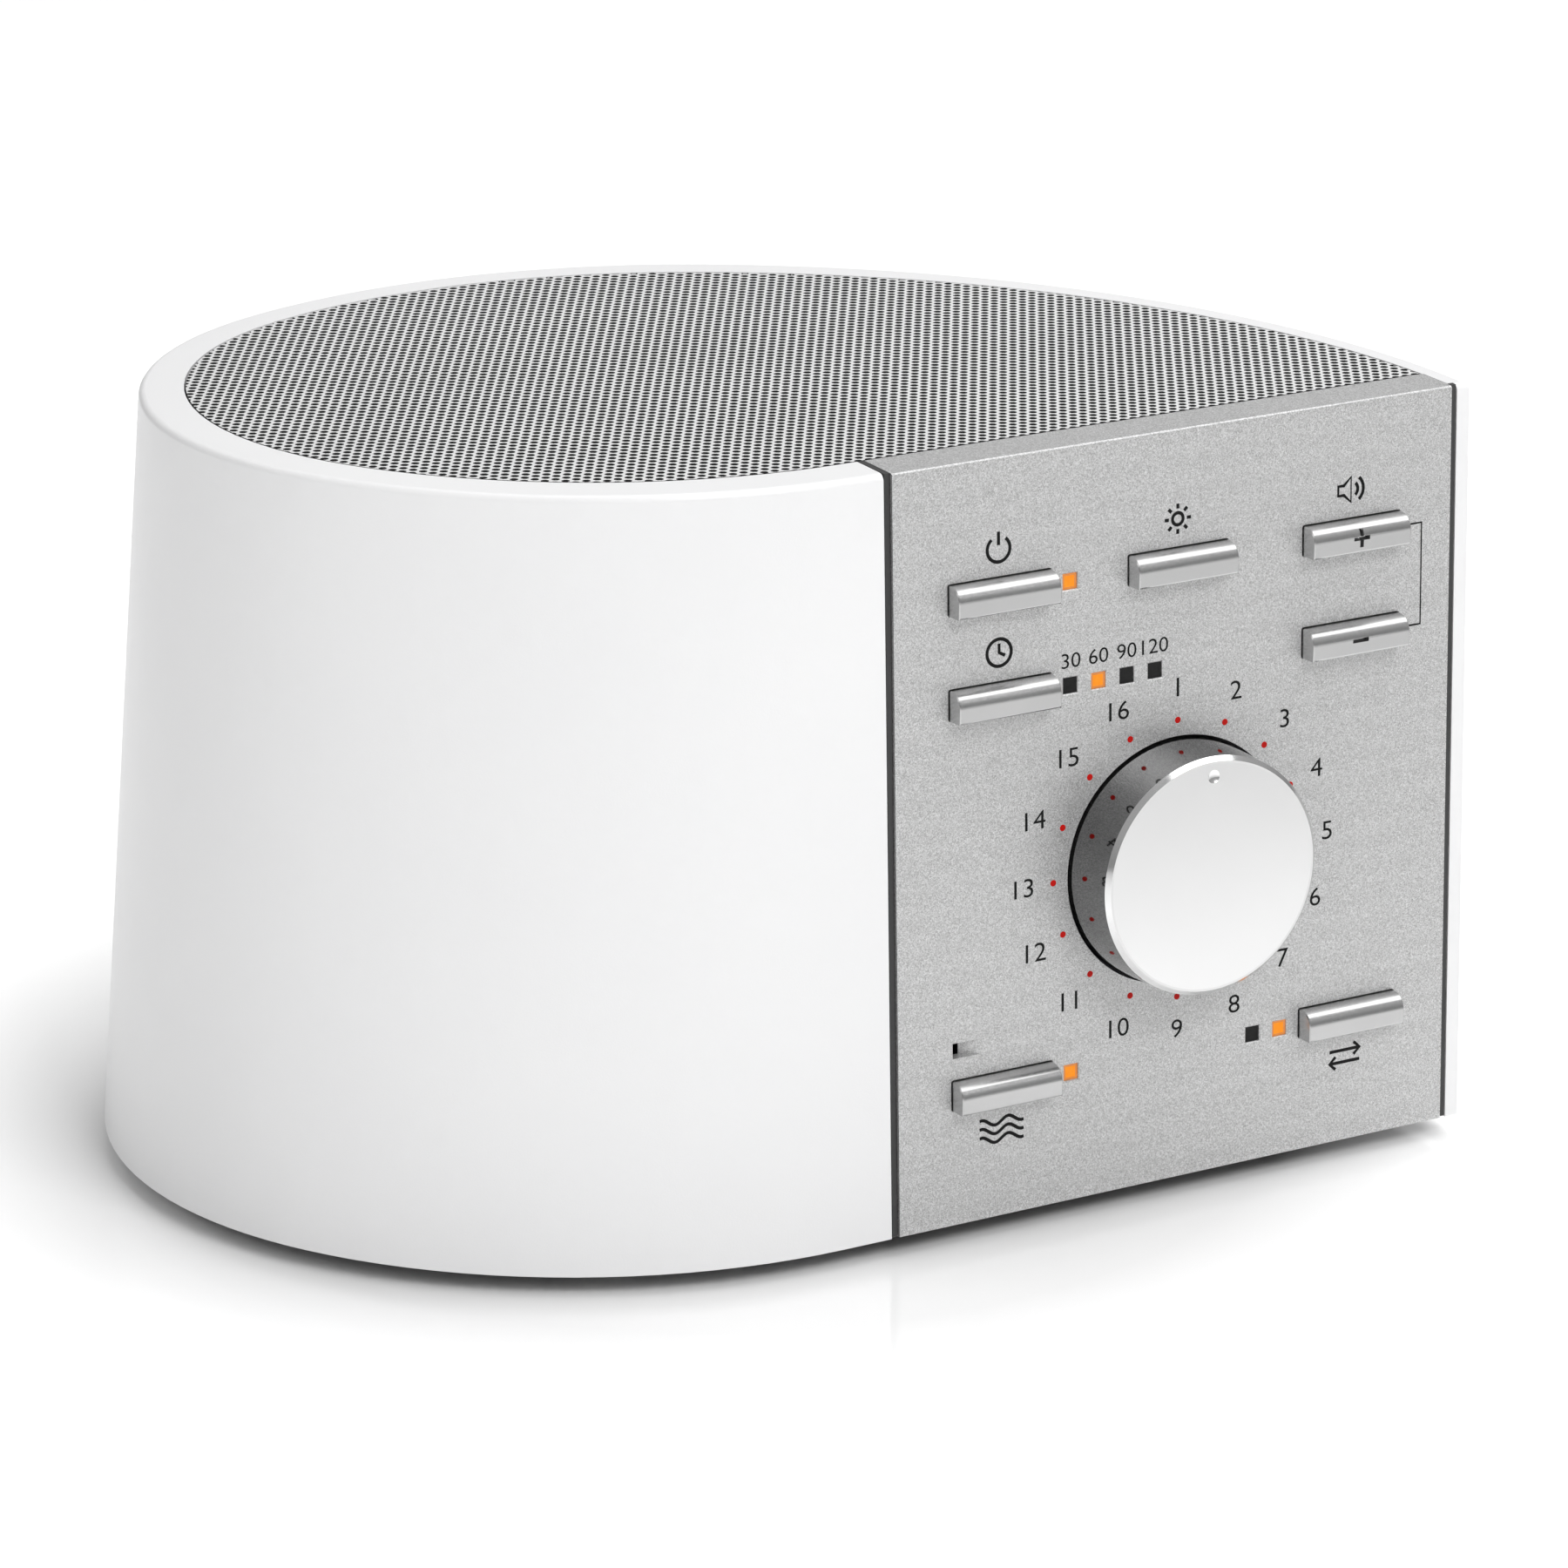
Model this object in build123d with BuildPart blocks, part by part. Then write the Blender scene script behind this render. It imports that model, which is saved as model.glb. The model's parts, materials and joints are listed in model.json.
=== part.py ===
from build123d import *
from math import cos, radians, sin, tan
import os

os.makedirs("parts", exist_ok=True)

# White noise sound machine: an egg-shaped housing that flares towards its foot, a perforated
# grille in its top, and a flat control panel that leans back across its front.
# Row frame: +X to the right along the panel, -Y out of its front, +Z up, Z = 0 on the table.
# On the panel, (u, v) are measured from the dial's axis and from the panel's bottom edge, and
# depth is measured inwards from its face.

# ---------------------------------------------------------------- driving dimensions (mm)
# Body
BODY_HEIGHT = 102.0      # wall, from its bottom edge to the rim
FOOT_PROUD = 2.8         # feet, below the wall's bottom edge
PANEL_LEAN = 1.8         # degrees that the front leans back
DIAL_X = 37.3            # dial axis, to the right of the body's centre
FRONT_Y = -56.2          # top front edge of the panel
SHELL_SETBACK = 0.3      # housing front, behind the panel's face
HOUSING_WALL = 2.2
TOP_PLATE = 2.5
RIM_FILLET = 1.0

# Plan outlines, from the dial's axis: right corner, start of the first bend, then the radius
# and sweep of each tangent bend. The last arc runs back to the right corner.
RIM_RIGHT = 45.3
RIM_BEND_START = -45.7
RIM_RADII = (69.5, 52.8, 75.9)
BASE_RIGHT = 45.3
BASE_BEND_START = -50.2
BASE_RADII = (71.7, 59.7, 73.0)
BODY_SWEEPS = (58.0, 99.0, 54.0)
GRILLE_RIGHT = 42.3
GRILLE_BEND_START = -46.2
GRILLE_RADII = (63.0, 47.6, 68.7)
GRILLE_SWEEPS = (56.0, 101.0, 50.0)

# Control panel and its carrier
PANEL_WIDTH = 84.6
PANEL_THICK = 1.6
LEDGE_DEPTH = 6.9        # panel's top ledge, front edge to grille
PANEL_EDGE_FILLET = 0.35
CARRIER_BORDER = 0.9     # carrier showing each side of the panel
CARRIER_SETBACK = 0.4    # that border, behind the panel's face
CARRIER_PLATE = 3.0
BORDER_NOTCH = 1.2       # depth of the right border's top, in front of the rim
FIT_GAP = 0.15           # between fixed pieces that drop into each other
RUN_GAP = 0.25           # between a fixed piece and a moving one
SCREW_GAP = 0.05         # round a screw in its hole

# Buttons
COLUMN_PITCH = 26.75
TOP_ROW_DROP = 17.65     # top row, below the panel's top edge
SECOND_ROW_DROP = 31.45
BOTTOM_ROW = 18.0
BUTTON_LENGTH = 15.1
BUTTON_HEIGHT = 4.0
BUTTON_PROUD = 2.8       # crown, half way up the front
BUTTON_SHOULDER = 0.8    # where the rounded upper half starts
BUTTON_SETBACK = 0.1     # lower edge of the flat lower half, behind the crown
BUTTON_EDGE = 0.15
BUTTON_TRAVEL = 0.5
BUTTON_GAP = 0.15        # round a button in its slot
SLOT_CORNER = 0.35
FLANGE_LIP = 0.6         # button's flange, past its sides
FLANGE_THICK = 1.0
STEM_RADIUS = 1.5

# Switches and control board
SWITCH_SIZE = 6.0
SWITCH_HEIGHT = 3.4
PLUNGER_PROUD = 0.8
PLUNGER_LENGTH = 2.0
PLUNGER_RADIUS = 1.75
PLUNGER_FIT = 0.1
BOARD_THICK = 1.6
BOARD_WIDTH = 76.0
BOARD_EDGE = 7.0         # board's lower and upper edges, inside the panel's
STANDOFF_RADIUS = 3.0
STANDOFF_U = 34.5
STANDOFF_EDGE = 3.8      # standoff axes, inside the board's edges
SCREW_RADIUS = 1.25
SCREW_HEAD_RADIUS = 2.4
SCREW_HEAD_THICK = 1.6

# Indicator lenses
LENS_SIZE = 2.0
LENS_SETBACK = 0.25
LENS_BEVEL = 0.15        # bevel round a lens window
LENS_LEFT = -16.25       # lens beside a left button, from the dial's axis
LENS_RIGHT = 16.2        # lens beside a right button
LENS_PITCH = 4.27
LENS_DROP = 0.15         # lenses, below the middle of their row
EMITTER_GAP = 0.3        # air between a lens and its emitter
EMITTER_SIZE = (2.4, 1.6)
EMITTER_HEIGHT = 0.7

# Microphone slot
MIC_LEFT = -34.2
MIC_SLOT_LENGTH = 4.1
MIC_SLOT_HEIGHT = 2.1
MIC_SLOT_V = 24.1
MIC_HOLE_LENGTH = 1.7    # open part of the slot, at its left end
MIC_RADIUS = 1.9
MIC_LENGTH = 4.0
MIC_BOOT_RADIUS = 2.6

# Dial and encoder
DIAL_BASE_RADIUS = 16.5
DIAL_BEVEL_RADIUS = 16.1
DIAL_FACE_RADIUS = 15.5
DIAL_HEIGHT = 8.55       # face, in front of the panel
DIAL_BEVEL = 0.6
DIAL_SINK = 1.0          # dial's skirt, behind the panel's face
DIAL_WALL = 1.6
DIAL_WELL_GAP = 0.3
DIAL_DISC_THICK = 0.8
DIAL_CROWN = 0.35        # rise of the disc at its middle
DIAL_LAND = 0.3          # bright ring left round the disc
DIMPLE_ARM = 13.6        # pointer dimple, from the dial's axis
DIMPLE_BALL = 1.6        # radius of the ball that forms the dimple
DIMPLE_DEPTH = 0.2
HUB_RADIUS = 5.0
HUB_RIBS = 6
HUB_RIB_THICK = 1.2
HUB_RIB_DROP = 2.0       # ribs' edge, outside the hub's end
SHAFT_RADIUS = 3.0
SHAFT_FLAT = 1.5         # depth of the flat on the shaft
SHAFT_FIT = 0.05         # running clearance of the shaft in its bush
SHAFT_TIP = 6.0          # shaft end, in front of the panel
BUSH_RADIUS = 3.5
BUSH_TIP = 0.7
ENCODER_SIZE = 12.0
ENCODER_HEIGHT = 6.5
ENCODER_FLOOR = 1.5
NUT_ACROSS_FLATS = 10.0
NUT_THICK = 2.0

# Grille, cloth and baffle
GRILLE_GAP = 0.25        # grille, inside its opening
GRILLE_SHEET = 0.8
CLOTH_THICK = 0.5
BAFFLE_THICK = 3.0
BAFFLE_FLARE = 1.0       # chamfer round the speaker's opening

# Speaker
SPEAKER_U = -33.0        # speaker axis, from the dial's axis
SPEAKER_BACK = 58.0      # speaker axis, behind the panel's top front edge
SPEAKER_SCREW_BITE = 2.5
SPOKE_ANGLE = 45.0
GASKET_THICK = 1.0
FRAME_FLANGE = 1.6
FLANGE_WIDTH = 6.6
FRAME_WALL = 1.4
FRAME_DEPTH = 21.0
FRAME_MOUTH_RADIUS = 34.4
FRAME_FOOT_RADIUS = 23.0
FRAME_SPOKES = 4
FRAME_WINDOW = (16.0, 24.0, 11.0)
POLE_RADIUS = 9.2
COIL_RADIUS = 9.8        # inside of the voice coil
COIL_THICK = 0.6
COIL_SINK = 5.0          # voice coil, below the frame's foot
GAP_RADIUS = 10.9        # bore of the top plate
TOP_PLATE_RADIUS = 21.0
TOP_PLATE_THICK = 3.0
MAGNET_RADIUS = 24.0
MAGNET_BORE = 13.0
MAGNET_THICK = 9.0
YOKE_THICK = 3.5
CONE_DEPTH = 14.0
CONE_THICK = 0.8
SURROUND_LIP = 0.8       # flat rim outside the roll
ROLL_WIDTH = 5.2         # from the edge of the cone to that rim
ROLL_THICK = 0.7
ROLL_RISE = 2.4
CAP_RISE = 4.0
TERMINAL = (9.0, 1.6, 6.0)
LEAD_RADIUS = 0.7
LEAD_PITCH = 4.0
LEAD_BOW = 4.0
LEAD_STRAIGHT = 8.0

# Base
BASE_THICK = 2.5
BASE_RECESS = 0.6        # base plate, above the wall's bottom edge
PILLAR_RADIUS = 4.0
PILLAR_INSET = 6.0       # pillar axis, inside the wall's foot
PILLAR_HEIGHT = 20.0
PILLAR_PLACES = (0.27, 0.42, 0.78)   # share of the way round from the right front corner
LUG_U = 28.0
LUG_SIZE = (9.0, 6.0, 9.0)
LUG_CAP = 0.9            # closed end of a lug's screw hole
BASE_SCREW_LENGTH = 9.0
BOARD_SCREW_LENGTH = 6.0
FOOT_RADIUS = 6.0
FOOT_EDGE = 0.5
FOOT_SEAT = 1.0          # feet, let into the base plate
FOOT_INSET = 13.0
FOOT_PLACES = (0.22, 0.47, 0.72, 0.97)

# Rear connectors and main board
TRAY_WIDTH = 36.0
TRAY_HEIGHT = 16.0
TRAY_Z = 18.0
TRAY_CORNER = 2.0
TRAY_WALL = 1.5
TRAY_DEPTH = 3.4         # tray's floor, inside the rearmost point of the wall
JACK_PITCH = 17.0
POWER_JACK = (9.0, 13.0)
JACK_HEIGHT = 11.0
JACK_BORE_DEPTH = 10.0
POWER_BORE = 3.1
POWER_PIN = 1.0
PHONE_JACK = (8.0, 13.0)
PHONE_NOSE_RADIUS = 3.0
PHONE_NOSE_PROUD = 0.5
PHONE_BORE = 1.8
MAIN_BOARD = (56.0, 46.0)
MAIN_BOARD_X = -12.0
BOARD_TO_TRAY = 7.0
POST_RADIUS = 3.0
POST_INSET = 4.0
CHIP_SIZE = (10.0, 10.0, 1.6)
CHIP_PLACES = ((-5.0, -2.0), (10.0, 0.0))             # from the board's centre
CAPACITOR_PLACES = ((-20.0, 4.0), (-20.0, -6.0))
CAPACITOR_RADIUS = 4.0
CAPACITOR_HEIGHT = 12.0
RIBBON_SOCKET = (16.0, 5.0)
LEAD_SOCKET = (8.0, 5.0)
LEAD_SOCKET_ALONG = 8.5  # behind the main board's centre
SOCKET_HEIGHT = 5.0
RIBBON_X = 7.5
RIBBON_WIDTH = 13.0
RIBBON_THICK = 0.8
RIBBON_V = 27.0
RIBBON_BEND = 6.0
RIBBON_LANDING = 12.0    # main board's front edge to the ribbon

# ---------------------------------------------------------------- worked out
BOTTOM_Z = FOOT_PROUD
TOP_Z = BOTTOM_Z + BODY_HEIGHT
LEAN = tan(radians(PANEL_LEAN))
PANEL_HEIGHT = BODY_HEIGHT / cos(radians(PANEL_LEAN))
TOP_ROW = PANEL_HEIGHT - TOP_ROW_DROP
SECOND_ROW = PANEL_HEIGHT - SECOND_ROW_DROP
DIAL_V = (SECOND_ROW + BOTTOM_ROW) / 2
BOARD_HEIGHT = PANEL_HEIGHT - 2 * BOARD_EDGE
STANDOFF_LOW = BOARD_EDGE + STANDOFF_EDGE
STANDOFF_ROWS = (STANDOFF_LOW, PANEL_HEIGHT / 2, PANEL_HEIGHT - STANDOFF_LOW)
OPENING_HALF = PANEL_WIDTH / 2 + CARRIER_BORDER + FIT_GAP
CARRIER_BACK = PANEL_THICK + CARRIER_PLATE
BOARD_DEPTH = CARRIER_BACK + ENCODER_HEIGHT
BOARD_BACK = BOARD_DEPTH + BOARD_THICK
FLANGE_DEPTH = PANEL_THICK + RUN_GAP
FLANGE_BACK = FLANGE_DEPTH + FLANGE_THICK
SWITCH_DEPTH = BOARD_DEPTH - SWITCH_HEIGHT
PLUNGER_DEPTH = SWITCH_DEPTH - PLUNGER_PROUD
GRILLE_BOTTOM = TOP_Z - GRILLE_SHEET
CLOTH_BOTTOM = GRILLE_BOTTOM - CLOTH_THICK
BAFFLE_TOP = TOP_Z - TOP_PLATE
BAFFLE_BOTTOM = BAFFLE_TOP - BAFFLE_THICK
SPEAKER_X = DIAL_X + SPEAKER_U
SPEAKER_Y = FRONT_Y + SPEAKER_BACK
SPEAKER_AXIS = Axis((SPEAKER_X, SPEAKER_Y, 0), (0, 0, 1))
SPEAKER_RADIUS = FRAME_MOUTH_RADIUS + FLANGE_WIDTH
SCREW_CIRCLE = FRAME_MOUTH_RADIUS + FLANGE_WIDTH / 2
SPEAKER_OPENING = FRAME_MOUTH_RADIUS - RUN_GAP
FRAME_TOP = BAFFLE_BOTTOM - GASKET_THICK
FRAME_FOOT = FRAME_TOP - FRAME_DEPTH
MAGNET_TOP = FRAME_FOOT - TOP_PLATE_THICK
MAGNET_FOOT = MAGNET_TOP - MAGNET_THICK
BASE_BOTTOM = BOTTOM_Z + BASE_RECESS
BASE_TOP = BASE_BOTTOM + BASE_THICK
MAIN_BOARD_TOP = TRAY_Z - JACK_HEIGHT / 2
MAIN_BOARD_BOTTOM = MAIN_BOARD_TOP - BOARD_THICK


def leaning_y(z, depth=0.0):
    """Y of the plane that lies the given depth behind the panel's face, at height z."""
    return FRONT_Y - (TOP_Z - z) * LEAN + depth / cos(radians(PANEL_LEAN))


def body_plan(z):
    """The housing's outline at height z: right corner, bend start, front and bends."""
    share = (z - BOTTOM_Z) / BODY_HEIGHT
    radii = [low + (high - low) * share for low, high in zip(BASE_RADII, RIM_RADII)]
    right = BASE_RIGHT + (RIM_RIGHT - BASE_RIGHT) * share
    start = BASE_BEND_START + (RIM_BEND_START - BASE_BEND_START) * share
    return right, start, leaning_y(z, SHELL_SETBACK), list(zip(radii, BODY_SWEEPS))


def grille_plan():
    """The outline of the opening that holds the grille."""
    bends = list(zip(GRILLE_RADII, GRILLE_SWEEPS))
    return GRILLE_RIGHT, GRILLE_BEND_START, FRONT_Y + LEDGE_DEPTH, bends


def plan_edges(plan, inset=0.0):
    """A plan outline as a closed loop of edges, moved inwards by inset."""
    right, start, front, bends = plan
    corner = (DIAL_X + right - inset, front + inset)
    with BuildLine(Plane.XY) as outline:
        edge = Line(corner, (DIAL_X + start, front + inset))
        for radius, sweep in bends:
            edge = JernArc(edge @ 1, edge % 1, radius - inset, -sweep)
        TangentArc(edge @ 1, corner, tangent=edge % 1)
    return outline.line.edges()


def panel_plane(depth=0.0):
    """The plane a given depth behind the panel's face: x is u, y is v, z points outwards."""
    outward = (0, -cos(radians(PANEL_LEAN)), sin(radians(PANEL_LEAN)))
    face = Plane((DIAL_X, leaning_y(BOTTOM_Z), BOTTOM_Z), x_dir=(1, 0, 0), z_dir=outward)
    return face.offset(-depth)


def upright_section(u, v):
    """The plane that cuts the panel upright at (u, v): x is up the panel, y is outwards."""
    face = panel_plane()
    return Plane(face.from_local_coords((u, v, 0)), x_dir=face.y_dir, z_dir=(1, 0, 0))


def level_section(u, v):
    """The plane that cuts the panel level at (u, v): x is +X, y is inwards."""
    face = panel_plane()
    return Plane(face.from_local_coords((u, v, 0)), x_dir=(1, 0, 0), z_dir=face.y_dir)


def speaker_section():
    """The upright plane through the speaker's axis: x is +X from the axis, y is Z."""
    return Plane((SPEAKER_X, SPEAKER_Y, 0), x_dir=(1, 0, 0), z_dir=(0, -1, 0))


def leaning_edges(front, back, top, ledge_bottom, bottom=BOTTOM_Z + FIT_GAP):
    """The section of a leaning plate whose top turns back as a level ledge, as edges."""
    ledge_end = FRONT_Y + LEDGE_DEPTH
    with BuildLine(Plane.XY) as outline:
        Polyline(
            (leaning_y(bottom, front), bottom),
            (leaning_y(top, front), top),
            (ledge_end, top),
            (ledge_end, ledge_bottom),
            (leaning_y(ledge_bottom, back), ledge_bottom),
            (leaning_y(bottom, back), bottom),
            close=True,
        )
    return outline.line.edges()


def finish(builder, name):
    """Label a finished piece and write it."""
    builder.part.label = name
    export_step(builder.part, f"parts/{name}.step")


BUTTONS = {
    "power": (-COLUMN_PITCH, TOP_ROW),
    "display": (0.0, TOP_ROW),
    "volume_up": (COLUMN_PITCH, TOP_ROW),
    "volume_down": (COLUMN_PITCH, SECOND_ROW),
    "timer": (-COLUMN_PITCH, SECOND_ROW),
    "adaptive": (-COLUMN_PITCH, BOTTOM_ROW),
    "selection": (COLUMN_PITCH, BOTTOM_ROW),
}
LIT_LENSES = [
    (LENS_LEFT, TOP_ROW - LENS_DROP),
    (LENS_LEFT + LENS_PITCH, SECOND_ROW - LENS_DROP),
    (LENS_LEFT, BOTTOM_ROW - LENS_DROP),
    (LENS_RIGHT, BOTTOM_ROW - LENS_DROP),
]
DARK_LENSES = [
    (LENS_LEFT, SECOND_ROW - LENS_DROP),
    (LENS_LEFT + 2 * LENS_PITCH, SECOND_ROW - LENS_DROP),
    (LENS_LEFT + 3 * LENS_PITCH, SECOND_ROW - LENS_DROP),
    (LENS_RIGHT - LENS_PITCH, BOTTOM_ROW - LENS_DROP),
]
STANDOFFS = [(side * STANDOFF_U, v) for side in (-1, 1) for v in STANDOFF_ROWS]
MIC_AXIS = (MIC_LEFT + MIC_HOLE_LENGTH / 2, MIC_SLOT_V)

# Screw pillars and feet stand at fixed insets inside the foot of the wall.
pillar_path = Wire(plan_edges(body_plan(BOTTOM_Z), PILLAR_INSET))
PILLARS = [pillar_path @ share for share in PILLAR_PLACES]
foot_path = Wire(plan_edges(body_plan(BOTTOM_Z), FOOT_INSET))
FEET = [foot_path @ share for share in FOOT_PLACES]
LUG_Y = leaning_y(BASE_TOP, CARRIER_BACK + LUG_SIZE[1] / 2)
LUGS = [(DIAL_X + side * LUG_U, LUG_Y) for side in (-1, 1)]
BASE_SCREWS = [(point.X, point.Y) for point in PILLARS] + LUGS

# The wall is square to +Y at its rearmost point, where the connector tray looks out.
rear_edge = Wire(plan_edges(body_plan(TRAY_Z)))
rear_point = max((rear_edge @ (step / 200) for step in range(200)), key=lambda spot: spot.Y)
TRAY_X = rear_point.X
TRAY_FLOOR_Y = rear_point.Y - TRAY_DEPTH
JACK_Y = TRAY_FLOOR_Y - TRAY_WALL
POWER_X = TRAY_X - JACK_PITCH / 2
PHONE_X = TRAY_X + JACK_PITCH / 2
MAIN_BOARD_Y = JACK_Y - BOARD_TO_TRAY - MAIN_BOARD[1] / 2
POSTS = [
    (
        MAIN_BOARD_X + across * (MAIN_BOARD[0] / 2 - POST_INSET),
        MAIN_BOARD_Y + along * (MAIN_BOARD[1] / 2 - POST_INSET),
    )
    for across in (-1, 1)
    for along in (-1, 1)
]
LEAD_Y = SPEAKER_Y + SCREW_CIRCLE
LEAD_SOCKET_Y = MAIN_BOARD_Y + LEAD_SOCKET_ALONG
CHIPS = [(MAIN_BOARD_X + across, MAIN_BOARD_Y + along) for across, along in CHIP_PLACES]
CAPACITORS = [
    (MAIN_BOARD_X + across, MAIN_BOARD_Y + along) for across, along in CAPACITOR_PLACES
]

# ---------------------------------------------------------------- housing
with BuildPart() as housing:
    with BuildSketch(Plane.XY.offset(BOTTOM_Z)):
        make_face(plan_edges(body_plan(BOTTOM_Z)))
    with BuildSketch(Plane.XY.offset(TOP_Z)):
        make_face(plan_edges(body_plan(TOP_Z)))
    loft(ruled=True)
    fillet(housing.edges().group_by(Axis.Z)[-1], RIM_FILLET)
    # cavity
    with BuildSketch(Plane.XY.offset(BOTTOM_Z)):
        make_face(plan_edges(body_plan(BOTTOM_Z), HOUSING_WALL))
    with BuildSketch(Plane.XY.offset(BAFFLE_TOP)):
        make_face(plan_edges(body_plan(BAFFLE_TOP), HOUSING_WALL))
    loft(ruled=True, mode=Mode.SUBTRACT)
    # screw pillars, grown out of the foot of the wall
    with BuildSketch(Plane.XY.offset(BASE_TOP)):
        with Locations(*PILLARS):
            Circle(PILLAR_RADIUS)
    extrude(amount=PILLAR_HEIGHT)
    with BuildSketch(Plane.XY.offset(BASE_TOP)):
        with Locations(*PILLARS):
            Circle(SCREW_RADIUS + SCREW_GAP)
    extrude(amount=BASE_SCREW_LENGTH, mode=Mode.SUBTRACT)
    # front opening for the carrier; the rim closes over its right border
    with BuildSketch(Plane.XY.offset(BOTTOM_Z)):
        with Locations((DIAL_X, FRONT_Y)):
            Rectangle(2 * OPENING_HALF, 2 * LEDGE_DEPTH)
    extrude(amount=BODY_HEIGHT - TOP_PLATE, mode=Mode.SUBTRACT)
    with BuildSketch(Plane.XY.offset(BAFFLE_TOP)):
        with Locations((DIAL_X - CARRIER_BORDER / 2, FRONT_Y)):
            Rectangle(2 * OPENING_HALF - CARRIER_BORDER, 2 * LEDGE_DEPTH)
        with Locations((DIAL_X, FRONT_Y)):
            Rectangle(2 * OPENING_HALF, 2 * (BORDER_NOTCH + FIT_GAP))
    extrude(amount=TOP_PLATE, mode=Mode.SUBTRACT)
    # grille opening
    with BuildSketch(Plane.XY.offset(BAFFLE_TOP)):
        make_face(plan_edges(grille_plan()))
    extrude(amount=TOP_PLATE, mode=Mode.SUBTRACT)
    # window for the connector tray
    with BuildSketch(Plane.XZ.offset(-JACK_Y)):
        with Locations((TRAY_X, TRAY_Z)):
            RectangleRounded(
                TRAY_WIDTH + 2 * FIT_GAP, TRAY_HEIGHT + 2 * FIT_GAP, TRAY_CORNER + FIT_GAP
            )
    extrude(amount=-3 * TRAY_DEPTH, mode=Mode.SUBTRACT)
finish(housing, "housing")

# ---------------------------------------------------------------- control panel and carrier
with BuildPart() as control_panel:
    with BuildSketch(Plane.YZ.offset(DIAL_X)):
        make_face(leaning_edges(0, PANEL_THICK, TOP_Z, TOP_Z - PANEL_THICK))
    extrude(amount=PANEL_WIDTH / 2, both=True)
    top_front = control_panel.faces().sort_by(Axis.Z)[-1].edges().sort_by(Axis.Y)[0]
    fillet(top_front, PANEL_EDGE_FILLET)
    with BuildSketch(panel_plane(PANEL_THICK)):
        with Locations(*BUTTONS.values()):
            RectangleRounded(
                BUTTON_LENGTH + 2 * BUTTON_GAP, BUTTON_HEIGHT + 2 * BUTTON_GAP, SLOT_CORNER
            )
        with Locations(*LIT_LENSES, *DARK_LENSES):
            Rectangle(LENS_SIZE + FIT_GAP, LENS_SIZE + FIT_GAP)
        with Locations((0, DIAL_V)):
            Circle(DIAL_BASE_RADIUS + DIAL_WELL_GAP)
    extrude(amount=PANEL_THICK, mode=Mode.SUBTRACT)
    # bevels round the lens windows
    with BuildSketch(panel_plane(0)):
        with Locations(*LIT_LENSES, *DARK_LENSES):
            Rectangle(
                LENS_SIZE + FIT_GAP + 2 * LENS_BEVEL, LENS_SIZE + FIT_GAP + 2 * LENS_BEVEL
            )
    extrude(amount=-LENS_BEVEL, taper=45, mode=Mode.SUBTRACT)
    # microphone slot, a ramp that runs down to its open left end
    with BuildSketch(level_section(MIC_LEFT, MIC_SLOT_V)):
        with BuildLine():
            Polyline(
                (0, 0),
                (MIC_SLOT_LENGTH, 0),
                (MIC_HOLE_LENGTH, PANEL_THICK),
                (0, PANEL_THICK),
                close=True,
            )
        make_face()
    extrude(amount=MIC_SLOT_HEIGHT / 2, both=True, mode=Mode.SUBTRACT)
finish(control_panel, "control_panel")

CARRIER_HALF = PANEL_WIDTH / 2 + CARRIER_BORDER
with BuildPart() as panel_carrier:
    with BuildSketch(Plane.YZ.offset(DIAL_X)):
        make_face(leaning_edges(CARRIER_SETBACK, CARRIER_BACK, TOP_Z, BAFFLE_TOP))
    extrude(amount=CARRIER_HALF, both=True)
    # bed for the panel, between the side walls
    with BuildSketch(Plane.YZ.offset(DIAL_X)):
        make_face(leaning_edges(0, PANEL_THICK, TOP_Z, TOP_Z - PANEL_THICK, BOTTOM_Z))
    extrude(amount=PANEL_WIDTH / 2 + FIT_GAP, both=True, mode=Mode.SUBTRACT)
    # the right wall ducks under the rim
    with BuildSketch(Plane.XY.offset(BAFFLE_TOP)):
        with Locations((DIAL_X + CARRIER_HALF, FRONT_Y + BORDER_NOTCH + LEDGE_DEPTH)):
            Rectangle(2 * CARRIER_BORDER, 2 * LEDGE_DEPTH)
    extrude(amount=TOP_PLATE, mode=Mode.SUBTRACT)
    # windows for the button flanges and lenses, and the hole for the encoder's bush
    with BuildSketch(panel_plane(CARRIER_BACK)):
        with Locations(*BUTTONS.values()):
            Rectangle(
                BUTTON_LENGTH + 2 * (FLANGE_LIP + RUN_GAP),
                BUTTON_HEIGHT + 2 * (FLANGE_LIP + RUN_GAP),
            )
        with Locations(*LIT_LENSES, *DARK_LENSES):
            Rectangle(LENS_SIZE + FIT_GAP, LENS_SIZE + FIT_GAP)
        with Locations((0, DIAL_V)):
            Circle(BUSH_RADIUS + SCREW_GAP)
        with Locations(MIC_AXIS):
            Circle(MIC_BOOT_RADIUS + SCREW_GAP)
    extrude(amount=CARRIER_PLATE, mode=Mode.SUBTRACT)
    # standoffs for the control board
    with BuildSketch(panel_plane(CARRIER_BACK)):
        with Locations(*STANDOFFS):
            Circle(STANDOFF_RADIUS)
    extrude(amount=-ENCODER_HEIGHT)
    with BuildSketch(panel_plane(BOARD_DEPTH)):
        with Locations(*STANDOFFS):
            Circle(SCREW_RADIUS + SCREW_GAP)
    extrude(amount=BOARD_SCREW_LENGTH, mode=Mode.SUBTRACT)
    # lugs that stand on the base plate
    with BuildSketch(Plane.XY.offset(BASE_TOP)):
        with Locations(*LUGS):
            Rectangle(LUG_SIZE[0], LUG_SIZE[1] + FIT_GAP)
    extrude(amount=LUG_SIZE[2])
    with BuildSketch(Plane.XY.offset(BASE_TOP)):
        with Locations(*LUGS):
            Circle(SCREW_RADIUS + SCREW_GAP)
    extrude(amount=LUG_SIZE[2] - LUG_CAP, mode=Mode.SUBTRACT)
finish(panel_carrier, "panel_carrier")

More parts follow.
